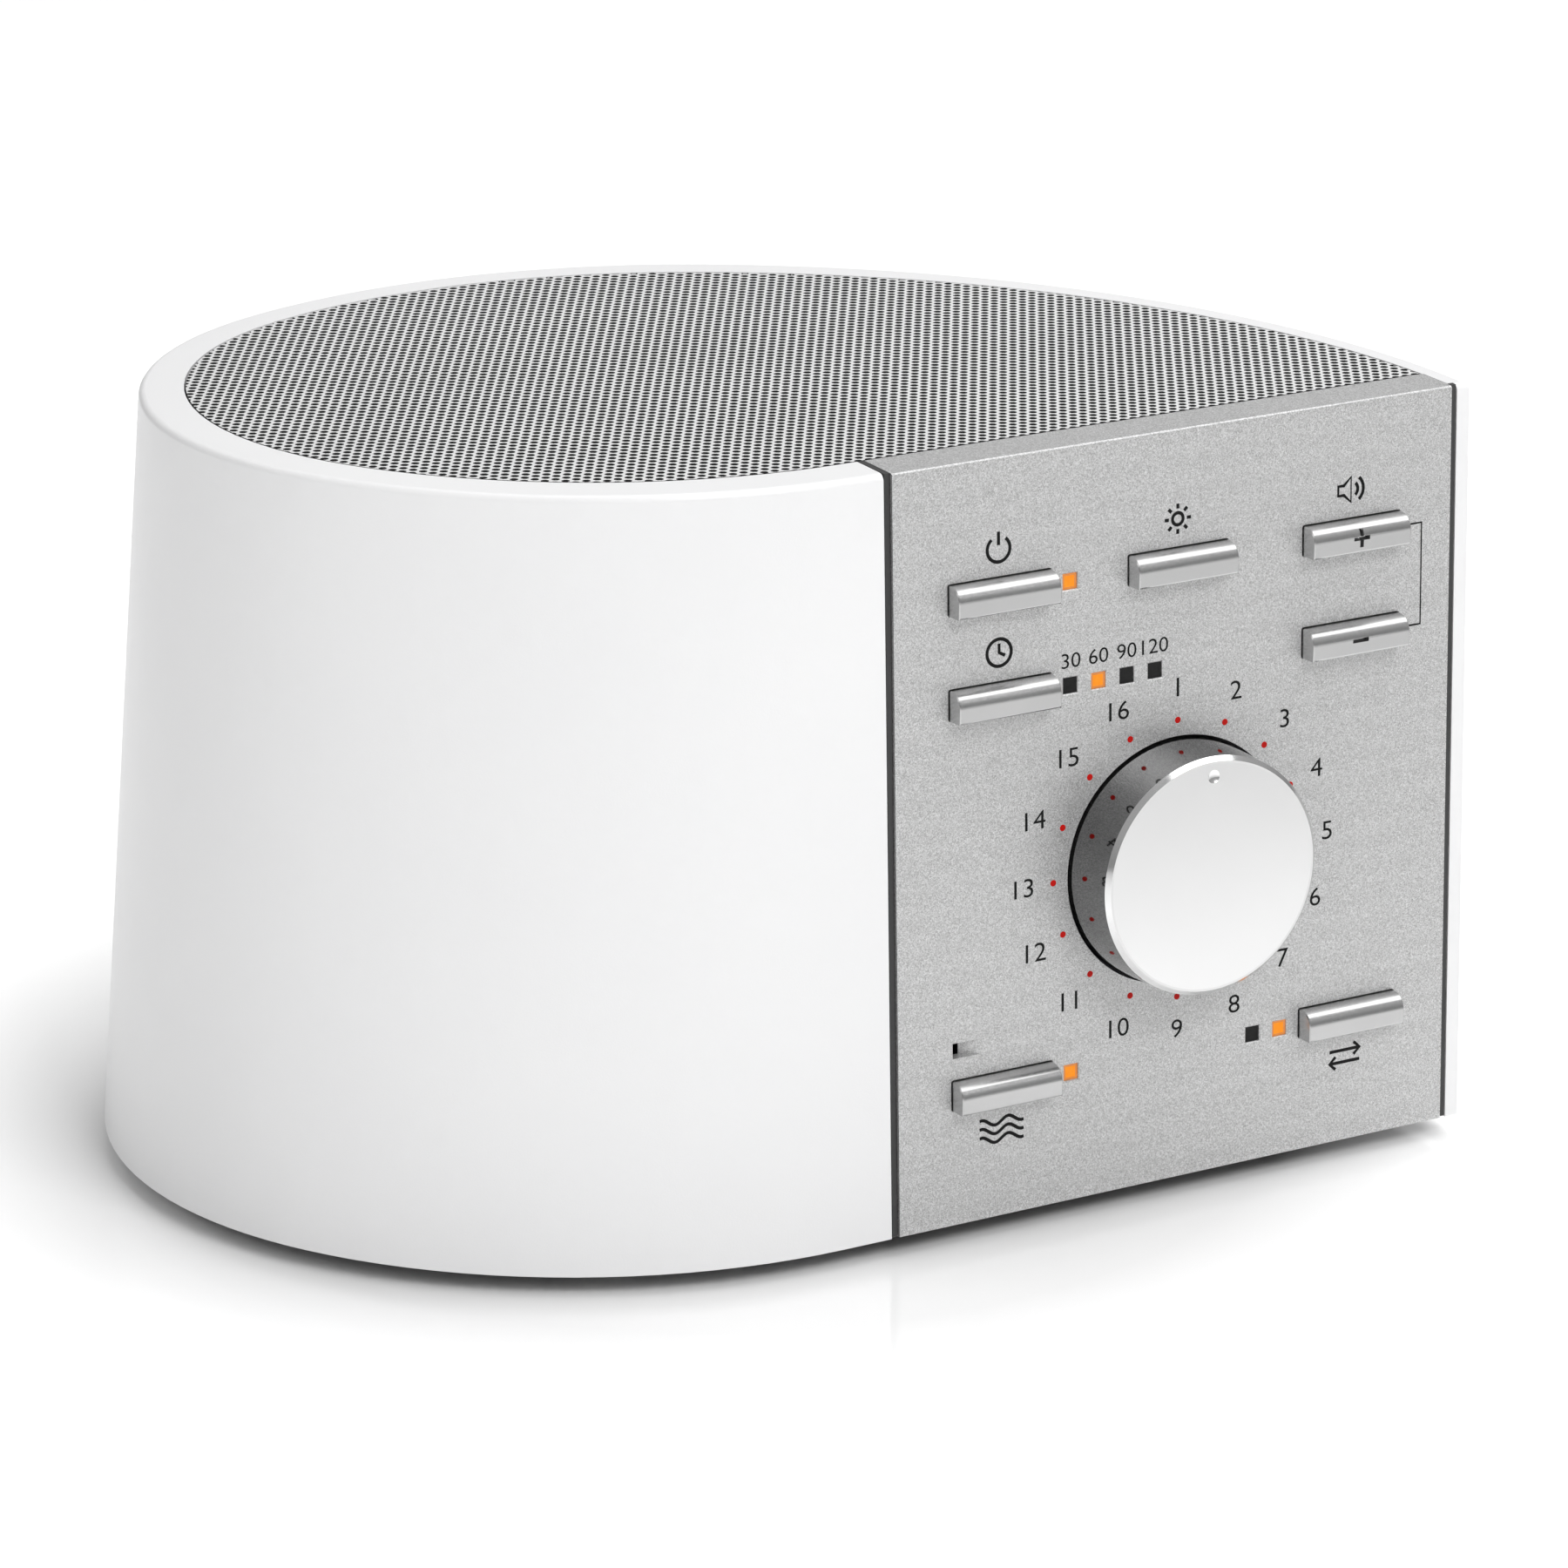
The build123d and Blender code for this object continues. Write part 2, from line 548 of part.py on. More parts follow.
# ---------------------------------------------------------------- buttons and their switches
SWITCH_WELL = PLUNGER_LENGTH - PLUNGER_PROUD + BUTTON_TRAVEL + RUN_GAP
for button_name, (button_u, button_v) in BUTTONS.items():
    with BuildPart() as button:
        # bar that shows, drawn as its section up the panel: round above, nearly flat below
        with BuildSketch(upright_section(button_u, button_v)):
            with BuildLine():
                Polyline(
                    (BUTTON_HEIGHT / 2, BUTTON_SHOULDER),
                    (BUTTON_HEIGHT / 2, -FLANGE_DEPTH),
                    (-BUTTON_HEIGHT / 2, -FLANGE_DEPTH),
                    (-BUTTON_HEIGHT / 2, BUTTON_PROUD - BUTTON_SETBACK),
                    (0, BUTTON_PROUD),
                )
                TangentArc(
                    (0, BUTTON_PROUD), (BUTTON_HEIGHT / 2, BUTTON_SHOULDER), tangent=(1, 0)
                )
            make_face()
        extrude(amount=BUTTON_LENGTH / 2, both=True)
        front = button.faces().filter_by(GeomType.PLANE).sort_by(Axis.Y)[0]
        ends = front.edges().filter_by(Axis.X, reverse=True)
        chamfer(button.edges().filter_by(GeomType.CIRCLE) + ends, BUTTON_EDGE)
        # flange that holds it behind the panel
        with BuildSketch(panel_plane(FLANGE_BACK)):
            with Locations((button_u, button_v)):
                Rectangle(BUTTON_LENGTH + 2 * FLANGE_LIP, BUTTON_HEIGHT + 2 * FLANGE_LIP)
        extrude(amount=FLANGE_THICK)
        with BuildSketch(panel_plane(PLUNGER_DEPTH)):
            with Locations((button_u, button_v)):
                Circle(STEM_RADIUS)
        extrude(amount=PLUNGER_DEPTH - FLANGE_BACK)
    finish(button, f"{button_name}_button")

    with BuildPart() as plunger:
        with BuildSketch(panel_plane(PLUNGER_DEPTH)):
            with Locations((button_u, button_v)):
                Circle(PLUNGER_RADIUS)
        extrude(amount=-PLUNGER_LENGTH)
    finish(plunger, f"{button_name}_switch_plunger")

with BuildPart() as tact_switches:
    with BuildSketch(panel_plane(BOARD_DEPTH)):
        with Locations(*BUTTONS.values()):
            Rectangle(SWITCH_SIZE, SWITCH_SIZE)
    extrude(amount=SWITCH_HEIGHT)
    with BuildSketch(panel_plane(SWITCH_DEPTH)):
        with Locations(*BUTTONS.values()):
            Circle(PLUNGER_RADIUS + PLUNGER_FIT)
    extrude(amount=-SWITCH_WELL, mode=Mode.SUBTRACT)
finish(tact_switches, "tact_switches")

# ---------------------------------------------------------------- indicators and microphone
EMITTER_FRONT = BOARD_DEPTH - EMITTER_HEIGHT
for lens_name, lens_places in (("lit", LIT_LENSES), ("dark", DARK_LENSES)):
    with BuildPart() as lenses:
        with BuildSketch(panel_plane(EMITTER_FRONT - EMITTER_GAP)):
            with Locations(*lens_places):
                Rectangle(LENS_SIZE, LENS_SIZE)
        extrude(amount=EMITTER_FRONT - EMITTER_GAP - LENS_SETBACK)
    finish(lenses, f"{lens_name}_indicator_lenses")

with BuildPart() as led_emitters:
    with BuildSketch(panel_plane(BOARD_DEPTH)):
        with Locations(*LIT_LENSES, *DARK_LENSES):
            Rectangle(*EMITTER_SIZE)
    extrude(amount=EMITTER_HEIGHT)
finish(led_emitters, "led_emitters")

with BuildPart() as microphone:
    with BuildSketch(panel_plane(BOARD_DEPTH)):
        with Locations(MIC_AXIS):
            Circle(MIC_RADIUS)
    extrude(amount=MIC_LENGTH)
finish(microphone, "microphone")

with BuildPart() as microphone_boot:
    with BuildSketch(panel_plane(BOARD_DEPTH)):
        with Locations(MIC_AXIS):
            Circle(MIC_BOOT_RADIUS)
            Circle(MIC_RADIUS, mode=Mode.SUBTRACT)
    extrude(amount=BOARD_DEPTH - PANEL_THICK)
finish(microphone_boot, "microphone_boot")

# ---------------------------------------------------------------- encoder and dial
with BuildPart() as encoder_body:
    with BuildSketch(panel_plane(BOARD_DEPTH)):
        with Locations((0, DIAL_V)):
            Rectangle(ENCODER_SIZE, ENCODER_SIZE)
    extrude(amount=ENCODER_HEIGHT)
    with BuildSketch(panel_plane(CARRIER_BACK)):
        with Locations((0, DIAL_V)):
            Circle(BUSH_RADIUS)
    extrude(amount=CARRIER_BACK + BUSH_TIP)
    with BuildSketch(panel_plane(-BUSH_TIP)):
        with Locations((0, DIAL_V)):
            Circle(SHAFT_RADIUS + SHAFT_FIT)
    extrude(amount=-(BUSH_TIP + BOARD_DEPTH - ENCODER_FLOOR), mode=Mode.SUBTRACT)
finish(encoder_body, "encoder_body")

with BuildPart() as encoder_nut:
    with BuildSketch(panel_plane(PANEL_THICK)):
        with Locations((0, DIAL_V)):
            RegularPolygon(NUT_ACROSS_FLATS / 2, 6, major_radius=False)
            Circle(BUSH_RADIUS + SCREW_GAP, mode=Mode.SUBTRACT)
    extrude(amount=NUT_THICK)
finish(encoder_nut, "encoder_nut")

HUB_BACK = BUSH_TIP + RUN_GAP
DISC_SEAT = DIAL_HEIGHT - DIAL_DISC_THICK
with BuildPart() as encoder_shaft:
    with BuildSketch(panel_plane(BOARD_DEPTH - ENCODER_FLOOR - RUN_GAP)):
        with Locations((0, DIAL_V)):
            Circle(SHAFT_RADIUS)
    extrude(amount=BOARD_DEPTH - ENCODER_FLOOR - RUN_GAP + HUB_BACK)
    # flatted end that drives the dial
    with BuildSketch(panel_plane(-HUB_BACK)):
        with Locations((0, DIAL_V)):
            Circle(SHAFT_RADIUS)
        with Locations((0, DIAL_V - 2 * SHAFT_RADIUS + SHAFT_FLAT)):
            Rectangle(2 * SHAFT_RADIUS, 2 * SHAFT_RADIUS, mode=Mode.SUBTRACT)
    extrude(amount=SHAFT_TIP - HUB_BACK)
finish(encoder_shaft, "encoder_shaft")

with BuildPart() as dial_knob:
    # cup with a tapered side and a bevelled rim, turned about the dial's axis
    with BuildSketch(level_section(0, DIAL_V)) as cup:
        with BuildLine():
            Polyline(
                (DIAL_BASE_RADIUS - DIAL_WALL, DIAL_SINK),
                (DIAL_BASE_RADIUS, DIAL_SINK),
                (DIAL_BEVEL_RADIUS, DIAL_BEVEL - DIAL_HEIGHT),
                (DIAL_FACE_RADIUS, -DIAL_HEIGHT),
                (DIAL_FACE_RADIUS - DIAL_LAND, -DIAL_HEIGHT),
                (DIAL_FACE_RADIUS - DIAL_LAND, -DISC_SEAT),
                (0, -DISC_SEAT),
                (0, DIAL_WALL - DISC_SEAT),
                (DIAL_BEVEL_RADIUS - DIAL_WALL, DIAL_WALL - DISC_SEAT),
                close=True,
            )
        make_face()
    revolve(axis=Axis(panel_plane().from_local_coords((0, DIAL_V, 0)), panel_plane().z_dir))
    # hub and the ribs that tie it to the side
    with BuildSketch(panel_plane(-HUB_BACK)):
        with Locations((0, DIAL_V)):
            Circle(HUB_RADIUS)
    extrude(amount=DISC_SEAT - HUB_BACK)
    with BuildSketch(panel_plane(-HUB_BACK - HUB_RIB_DROP)):
        with Locations((0, DIAL_V)):
            with PolarLocations(0, HUB_RIBS):
                Rectangle(DIAL_BEVEL_RADIUS - DIAL_LAND, HUB_RIB_THICK, align=(Align.MIN, Align.CENTER))
    extrude(amount=DISC_SEAT - DIAL_DISC_THICK - HUB_BACK - HUB_RIB_DROP)
    with BuildSketch(panel_plane(-HUB_BACK)):
        with Locations((0, DIAL_V)):
            Circle(SHAFT_RADIUS)
        with Locations((0, DIAL_V - 2 * SHAFT_RADIUS + SHAFT_FLAT)):
            Rectangle(2 * SHAFT_RADIUS, 2 * SHAFT_RADIUS, mode=Mode.SUBTRACT)
    extrude(amount=SHAFT_TIP - HUB_BACK, mode=Mode.SUBTRACT)
finish(dial_knob, "dial_knob")

with BuildPart() as dial_face:
    # disc with a low crown, turned about the dial's axis
    with BuildSketch(level_section(0, DIAL_V)):
        with BuildLine():
            Polyline(
                (0, -DIAL_HEIGHT - DIAL_CROWN),
                (0, -DISC_SEAT),
                (DIAL_FACE_RADIUS - DIAL_LAND, -DISC_SEAT),
                (DIAL_FACE_RADIUS - DIAL_LAND, -DIAL_HEIGHT),
            )
            TangentArc(
                (0, -DIAL_HEIGHT - DIAL_CROWN),
                (DIAL_FACE_RADIUS - DIAL_LAND, -DIAL_HEIGHT),
                tangent=(1, 0),
            )
        make_face()
    revolve(axis=Axis(panel_plane().from_local_coords((0, DIAL_V, 0)), panel_plane().z_dir))
    # pointer dimple
    dimple_middle = (0, DIAL_V + DIMPLE_ARM, DIAL_HEIGHT - DIMPLE_DEPTH + DIMPLE_BALL)
    with Locations(panel_plane().from_local_coords(dimple_middle)):
        Sphere(DIMPLE_BALL, mode=Mode.SUBTRACT)
finish(dial_face, "dial_face")

# ---------------------------------------------------------------- control board
with BuildPart() as control_board:
    with BuildSketch(panel_plane(BOARD_BACK)):
        with Locations((0, PANEL_HEIGHT / 2)):
            Rectangle(BOARD_WIDTH, BOARD_HEIGHT)
        with Locations(*STANDOFFS):
            Circle(SCREW_RADIUS + SCREW_GAP, mode=Mode.SUBTRACT)
    extrude(amount=BOARD_THICK)
finish(control_board, "control_board")

with BuildPart() as control_board_screws:
    with BuildSketch(panel_plane(BOARD_BACK)):
        with Locations(*STANDOFFS):
            Circle(SCREW_RADIUS)
    extrude(amount=BOARD_SCREW_LENGTH)
    with BuildSketch(panel_plane(BOARD_BACK)):
        with Locations(*STANDOFFS):
            Circle(SCREW_HEAD_RADIUS)
    extrude(amount=-SCREW_HEAD_THICK)
finish(control_board_screws, "control_board_screws")

# ---------------------------------------------------------------- grille, cloth and baffle
with BuildPart() as top_grille:
    with BuildSketch(Plane.XY.offset(GRILLE_BOTTOM)):
        make_face(plan_edges(grille_plan(), GRILLE_GAP))
    extrude(amount=GRILLE_SHEET)
finish(top_grille, "top_grille")

with BuildPart() as dust_cloth:
    with BuildSketch(Plane.XY.offset(CLOTH_BOTTOM)):
        make_face(plan_edges(grille_plan(), GRILLE_GAP))
    extrude(amount=CLOTH_THICK)
finish(dust_cloth, "dust_cloth")

with BuildPart() as speaker_baffle:
    with BuildSketch(Plane.XY.offset(BAFFLE_BOTTOM)):
        make_face(plan_edges(body_plan(BAFFLE_TOP), HOUSING_WALL + FIT_GAP))
        baffle_front = leaning_y(BAFFLE_TOP, CARRIER_BACK + FIT_GAP)
        with Locations((DIAL_X, baffle_front - LEDGE_DEPTH)):
            Rectangle(4 * CARRIER_HALF, 2 * LEDGE_DEPTH, mode=Mode.SUBTRACT)
    extrude(amount=BAFFLE_THICK)
    # raised bed that carries the cloth up to the grille
    with BuildSketch(Plane.XY.offset(BAFFLE_TOP)):
        make_face(plan_edges(grille_plan(), GRILLE_GAP))
    extrude(amount=CLOTH_BOTTOM - BAFFLE_TOP)
    with BuildSketch(Plane.XY.offset(BAFFLE_BOTTOM)):
        with Locations((SPEAKER_X, SPEAKER_Y)):
            Circle(SPEAKER_OPENING)
    extrude(amount=CLOTH_BOTTOM - BAFFLE_BOTTOM, mode=Mode.SUBTRACT)
    chamfer(speaker_baffle.faces().sort_by(Axis.Z)[-1].inner_wires().edges(), BAFFLE_FLARE)
    with BuildSketch(Plane.XY.offset(BAFFLE_BOTTOM)):
        with Locations((SPEAKER_X, SPEAKER_Y)):
            with PolarLocations(SCREW_CIRCLE, FRAME_SPOKES, start_angle=SPOKE_ANGLE):
                Circle(SCREW_RADIUS + SCREW_GAP)
    extrude(amount=SPEAKER_SCREW_BITE + SCREW_GAP, mode=Mode.SUBTRACT)
finish(speaker_baffle, "speaker_baffle")

# ---------------------------------------------------------------- speaker, cone upwards
with BuildPart() as speaker_gasket:
    with BuildSketch(Plane.XY.offset(FRAME_TOP)):
        with Locations((SPEAKER_X, SPEAKER_Y)):
            Circle(SPEAKER_RADIUS)
            Circle(SPEAKER_OPENING, mode=Mode.SUBTRACT)
            with PolarLocations(SCREW_CIRCLE, FRAME_SPOKES, start_angle=SPOKE_ANGLE):
                Circle(SCREW_RADIUS + SCREW_GAP, mode=Mode.SUBTRACT)
    extrude(amount=GASKET_THICK)
finish(speaker_gasket, "speaker_gasket")

with BuildPart() as speaker_frame:
    # pressed basket: a flange, a conical wall and a floor, turned about the axis
    with BuildSketch(speaker_section()):
        with BuildLine():
            Polyline(
                (FRAME_MOUTH_RADIUS - FRAME_WALL, FRAME_TOP),
                (SPEAKER_RADIUS, FRAME_TOP),
                (SPEAKER_RADIUS, FRAME_TOP - FRAME_FLANGE),
                (FRAME_MOUTH_RADIUS, FRAME_TOP - FRAME_FLANGE),
                (FRAME_FOOT_RADIUS, FRAME_FOOT),
                (GAP_RADIUS, FRAME_FOOT),
                (GAP_RADIUS, FRAME_FOOT + FRAME_WALL),
                (FRAME_FOOT_RADIUS - FRAME_WALL / 2, FRAME_FOOT + FRAME_WALL),
                close=True,
            )
        make_face()
    revolve(axis=SPEAKER_AXIS)
    # windows between the spokes
    with Locations((SPEAKER_X, SPEAKER_Y, (FRAME_TOP - FRAME_FLANGE + FRAME_FOOT + FRAME_WALL) / 2)):
        with PolarLocations((FRAME_MOUTH_RADIUS + FRAME_FOOT_RADIUS) / 2, FRAME_SPOKES):
            Box(*FRAME_WINDOW, mode=Mode.SUBTRACT)
    with BuildSketch(Plane.XY.offset(FRAME_TOP)):
        with Locations((SPEAKER_X, SPEAKER_Y)):
            with PolarLocations(SCREW_CIRCLE, FRAME_SPOKES, start_angle=SPOKE_ANGLE):
                Circle(SCREW_RADIUS + SCREW_GAP)
    extrude(amount=-FRAME_FLANGE, mode=Mode.SUBTRACT)
finish(speaker_frame, "speaker_frame")

with BuildPart() as speaker_top_plate:
    with BuildSketch(Plane.XY.offset(MAGNET_TOP)):
        with Locations((SPEAKER_X, SPEAKER_Y)):
            Circle(TOP_PLATE_RADIUS)
            Circle(GAP_RADIUS, mode=Mode.SUBTRACT)
    extrude(amount=TOP_PLATE_THICK)
finish(speaker_top_plate, "speaker_top_plate")

with BuildPart() as speaker_magnet:
    with BuildSketch(Plane.XY.offset(MAGNET_FOOT)):
        with Locations((SPEAKER_X, SPEAKER_Y)):
            Circle(MAGNET_RADIUS)
            Circle(MAGNET_BORE, mode=Mode.SUBTRACT)
    extrude(amount=MAGNET_THICK)
finish(speaker_magnet, "speaker_magnet")

with BuildPart() as speaker_yoke:
    with BuildSketch(Plane.XY.offset(MAGNET_FOOT - YOKE_THICK)):
        with Locations((SPEAKER_X, SPEAKER_Y)):
            Circle(TOP_PLATE_RADIUS)
    extrude(amount=YOKE_THICK)
    with BuildSketch(Plane.XY.offset(MAGNET_FOOT)):
        with Locations((SPEAKER_X, SPEAKER_Y)):
            Circle(POLE_RADIUS)
    extrude(amount=FRAME_FOOT - MAGNET_FOOT)
finish(speaker_yoke, "speaker_yoke")

ROLL_OUTSIDE = SPEAKER_OPENING - FIT_GAP - SURROUND_LIP
CONE_RADIUS = ROLL_OUTSIDE - ROLL_WIDTH
CONE_TOP = FRAME_TOP
CONE_NECK = CONE_TOP - CONE_DEPTH
NECK_RADIUS = COIL_RADIUS + COIL_THICK
with BuildPart() as speaker_voice_coil:
    with BuildSketch(Plane.XY.offset(FRAME_FOOT - COIL_SINK)):
        with Locations((SPEAKER_X, SPEAKER_Y)):
            Circle(NECK_RADIUS)
            Circle(COIL_RADIUS, mode=Mode.SUBTRACT)
    extrude(amount=CONE_NECK - FRAME_FOOT + COIL_SINK)
finish(speaker_voice_coil, "speaker_voice_coil")

with BuildPart() as speaker_cone:
    with BuildSketch(speaker_section()):
        with BuildLine():
            Polyline(
                (COIL_RADIUS, CONE_NECK),
                (NECK_RADIUS, CONE_NECK),
                (CONE_RADIUS, CONE_TOP),
                (CONE_RADIUS, CONE_TOP + CONE_THICK),
                (NECK_RADIUS, CONE_NECK + CONE_THICK),
                (COIL_RADIUS, CONE_NECK + CONE_THICK),
                close=True,
            )
        make_face()
    revolve(axis=SPEAKER_AXIS)
finish(speaker_cone, "speaker_cone")

ROLL_EDGE = (ROLL_OUTSIDE - CONE_RADIUS) / 4
with BuildPart() as speaker_surround:
    # roll between the cone's edge and the gasket, with straight flanks
    with BuildSketch(speaker_section()):
        with BuildLine():
            Polyline(
                (CONE_RADIUS, CONE_TOP),
                (CONE_RADIUS + ROLL_EDGE, CONE_TOP + ROLL_RISE),
                (ROLL_OUTSIDE - ROLL_EDGE, CONE_TOP + ROLL_RISE),
                (ROLL_OUTSIDE, CONE_TOP),
                (ROLL_OUTSIDE + SURROUND_LIP, CONE_TOP),
                (ROLL_OUTSIDE + SURROUND_LIP, CONE_TOP + ROLL_THICK),
                (ROLL_OUTSIDE + ROLL_THICK / 2, CONE_TOP + ROLL_THICK),
                (ROLL_OUTSIDE - ROLL_EDGE, CONE_TOP + ROLL_RISE + ROLL_THICK),
                (CONE_RADIUS + ROLL_EDGE, CONE_TOP + ROLL_RISE + ROLL_THICK),
                (CONE_RADIUS, CONE_TOP + CONE_THICK),
                close=True,
            )
        make_face()
    revolve(axis=SPEAKER_AXIS)
finish(speaker_surround, "speaker_surround")

CAP_SEAT = CONE_NECK + CONE_THICK
with BuildPart() as speaker_dust_cap:
    # thin dome: the right half of one bow less the bow beneath it
    with BuildSketch(speaker_section()):
        with BuildLine():
            ThreePointArc((-COIL_RADIUS, CAP_SEAT), (0, CAP_SEAT + CAP_RISE), (COIL_RADIUS, CAP_SEAT))
            Line((COIL_RADIUS, CAP_SEAT), (-COIL_RADIUS, CAP_SEAT))
        make_face()
        with BuildLine():
            inner = COIL_RADIUS - CONE_THICK
            ThreePointArc(
                (-inner, CAP_SEAT), (0, CAP_SEAT + CAP_RISE - CONE_THICK), (inner, CAP_SEAT)
            )
            Line((inner, CAP_SEAT), (-inner, CAP_SEAT))
        make_face(mode=Mode.SUBTRACT)
        with Locations((0, CAP_SEAT)):
            Rectangle(
                2 * COIL_RADIUS, 4 * CAP_RISE, align=(Align.MAX, Align.CENTER), mode=Mode.SUBTRACT
            )
    revolve(axis=SPEAKER_AXIS)
finish(speaker_dust_cap, "speaker_dust_cap")

with BuildPart() as speaker_screws:
    flange_bottom = FRAME_TOP - FRAME_FLANGE
    with BuildSketch(Plane.XY.offset(flange_bottom)):
        with Locations((SPEAKER_X, SPEAKER_Y)):
            with PolarLocations(SCREW_CIRCLE, FRAME_SPOKES, start_angle=SPOKE_ANGLE):
                Circle(SCREW_RADIUS)
    extrude(amount=FRAME_FLANGE + GASKET_THICK + SPEAKER_SCREW_BITE)
    with BuildSketch(Plane.XY.offset(flange_bottom)):
        with Locations((SPEAKER_X, SPEAKER_Y)):
            with PolarLocations(SCREW_CIRCLE, FRAME_SPOKES, start_angle=SPOKE_ANGLE):
                Circle(SCREW_HEAD_RADIUS)
    extrude(amount=-SCREW_HEAD_THICK)
finish(speaker_screws, "speaker_screws")

TERMINAL_TOP = FRAME_TOP - FRAME_FLANGE
TERMINAL_BOTTOM = TERMINAL_TOP - TERMINAL[2]
with BuildPart() as speaker_terminals:
    with BuildSketch(Plane.XY.offset(TERMINAL_BOTTOM)):
        with Locations((SPEAKER_X, LEAD_Y)):
            Rectangle(TERMINAL[0], TERMINAL[1])
    extrude(amount=TERMINAL[2])
finish(speaker_terminals, "speaker_terminals")

# ---------------------------------------------------------------- base plate, feet and screws
with BuildPart() as base_plate:
    with BuildSketch(Plane.XY.offset(BASE_BOTTOM)):
        make_face(plan_edges(body_plan(BASE_TOP), HOUSING_WALL + FIT_GAP))
        base_front = leaning_y(BASE_TOP, CARRIER_BACK + FIT_GAP)
        with Locations((DIAL_X, base_front - LEDGE_DEPTH)):
            Rectangle(2 * OPENING_HALF, 2 * LEDGE_DEPTH, mode=Mode.SUBTRACT)
    extrude(amount=BASE_THICK)
    # posts for the main board
    with BuildSketch(Plane.XY.offset(BASE_TOP)):
        with Locations(*POSTS):
            Circle(POST_RADIUS)
    extrude(amount=MAIN_BOARD_BOTTOM - BASE_TOP)
    with BuildSketch(Plane.XY.offset(MAIN_BOARD_TOP - BOARD_SCREW_LENGTH)):
        with Locations(*POSTS):
            Circle(SCREW_RADIUS + SCREW_GAP)
    extrude(amount=BOARD_SCREW_LENGTH, mode=Mode.SUBTRACT)
    # countersunk seats for the base screws and shallow seats for the feet
    with BuildSketch(Plane.XY.offset(BASE_BOTTOM)):
        with Locations(*BASE_SCREWS):
            Circle(SCREW_HEAD_RADIUS + FIT_GAP)
    extrude(amount=SCREW_HEAD_THICK, mode=Mode.SUBTRACT)
    with BuildSketch(Plane.XY.offset(BASE_BOTTOM)):
        with Locations(*BASE_SCREWS):
            Circle(SCREW_RADIUS + SCREW_GAP)
    extrude(amount=BASE_THICK, mode=Mode.SUBTRACT)
    with BuildSketch(Plane.XY.offset(BASE_BOTTOM)):
        with Locations(*FEET):
            Circle(FOOT_RADIUS + FIT_GAP)
    extrude(amount=FOOT_SEAT, mode=Mode.SUBTRACT)
finish(base_plate, "base_plate")

with BuildPart() as base_screws:
    with BuildSketch(Plane.XY.offset(BASE_BOTTOM)):
        with Locations(*BASE_SCREWS):
            Circle(SCREW_HEAD_RADIUS)
    extrude(amount=SCREW_HEAD_THICK)
    with BuildSketch(Plane.XY.offset(BASE_BOTTOM)):
        with Locations(*BASE_SCREWS):
            Circle(SCREW_RADIUS)
    extrude(amount=BASE_SCREW_LENGTH)
finish(base_screws, "base_screws")

with BuildPart() as rubber_feet:
    with BuildSketch(Plane.XY):
        with Locations(*FEET):
            Circle(FOOT_RADIUS)
    extrude(amount=BASE_BOTTOM + FOOT_SEAT)
    chamfer(rubber_feet.edges().group_by(Axis.Z)[0], FOOT_EDGE)
finish(rubber_feet, "rubber_feet")

# ---------------------------------------------------------------- rear connectors
with BuildPart() as connector_tray:
    # block whose mouth follows the wall, hollowed from behind
    with BuildSketch(Plane.XZ.offset(-JACK_Y)):
        with Locations((TRAY_X, TRAY_Z)):
            RectangleRounded(TRAY_WIDTH, TRAY_HEIGHT, TRAY_CORNER)
    extrude(amount=-3 * TRAY_DEPTH)
    with BuildSketch(Plane.XZ.offset(-TRAY_FLOOR_Y)):
        with Locations((TRAY_X, TRAY_Z)):
            RectangleRounded(
                TRAY_WIDTH - 2 * TRAY_WALL, TRAY_HEIGHT - 2 * TRAY_WALL, TRAY_CORNER - TRAY_WALL / 2
            )
    extrude(amount=-3 * TRAY_DEPTH, mode=Mode.SUBTRACT)
    with BuildSketch(Plane.XZ.offset(-JACK_Y)):
        with Locations((POWER_X, TRAY_Z)):
            Circle(POWER_BORE)
        with Locations((PHONE_X, TRAY_Z)):
            Circle(PHONE_NOSE_RADIUS + SCREW_GAP)
    extrude(amount=-TRAY_WALL, mode=Mode.SUBTRACT)
    with BuildSketch(Plane.XY.offset(BOTTOM_Z)):
        make_face(plan_edges(body_plan(BOTTOM_Z), FIT_GAP))
    with BuildSketch(Plane.XY.offset(TOP_Z)):
        make_face(plan_edges(body_plan(TOP_Z), FIT_GAP))
    loft(ruled=True, mode=Mode.INTERSECT)
finish(connector_tray, "connector_tray")

with BuildPart() as power_jack:
    with BuildSketch(Plane.XZ.offset(-JACK_Y)):
        with Locations((POWER_X, TRAY_Z)):
            Rectangle(POWER_JACK[0], JACK_HEIGHT)
    extrude(amount=POWER_JACK[1])
    with BuildSketch(Plane.XZ.offset(-JACK_Y)):
        with Locations((POWER_X, TRAY_Z)):
            Circle(POWER_BORE)
            Circle(POWER_PIN, mode=Mode.SUBTRACT)
    extrude(amount=JACK_BORE_DEPTH, mode=Mode.SUBTRACT)
finish(power_jack, "power_jack")

with BuildPart() as headphone_jack:
    with BuildSketch(Plane.XZ.offset(-JACK_Y)):
        with Locations((PHONE_X, TRAY_Z)):
            Rectangle(PHONE_JACK[0], JACK_HEIGHT)
    extrude(amount=PHONE_JACK[1])
    with BuildSketch(Plane.XZ.offset(-JACK_Y)):
        with Locations((PHONE_X, TRAY_Z)):
            Circle(PHONE_NOSE_RADIUS)
    extrude(amount=-TRAY_WALL - PHONE_NOSE_PROUD)
    with BuildSketch(Plane.XZ.offset(-TRAY_FLOOR_Y - PHONE_NOSE_PROUD)):
        with Locations((PHONE_X, TRAY_Z)):
            Circle(PHONE_BORE)
    extrude(amount=JACK_BORE_DEPTH + TRAY_WALL, mode=Mode.SUBTRACT)
finish(headphone_jack, "headphone_jack")

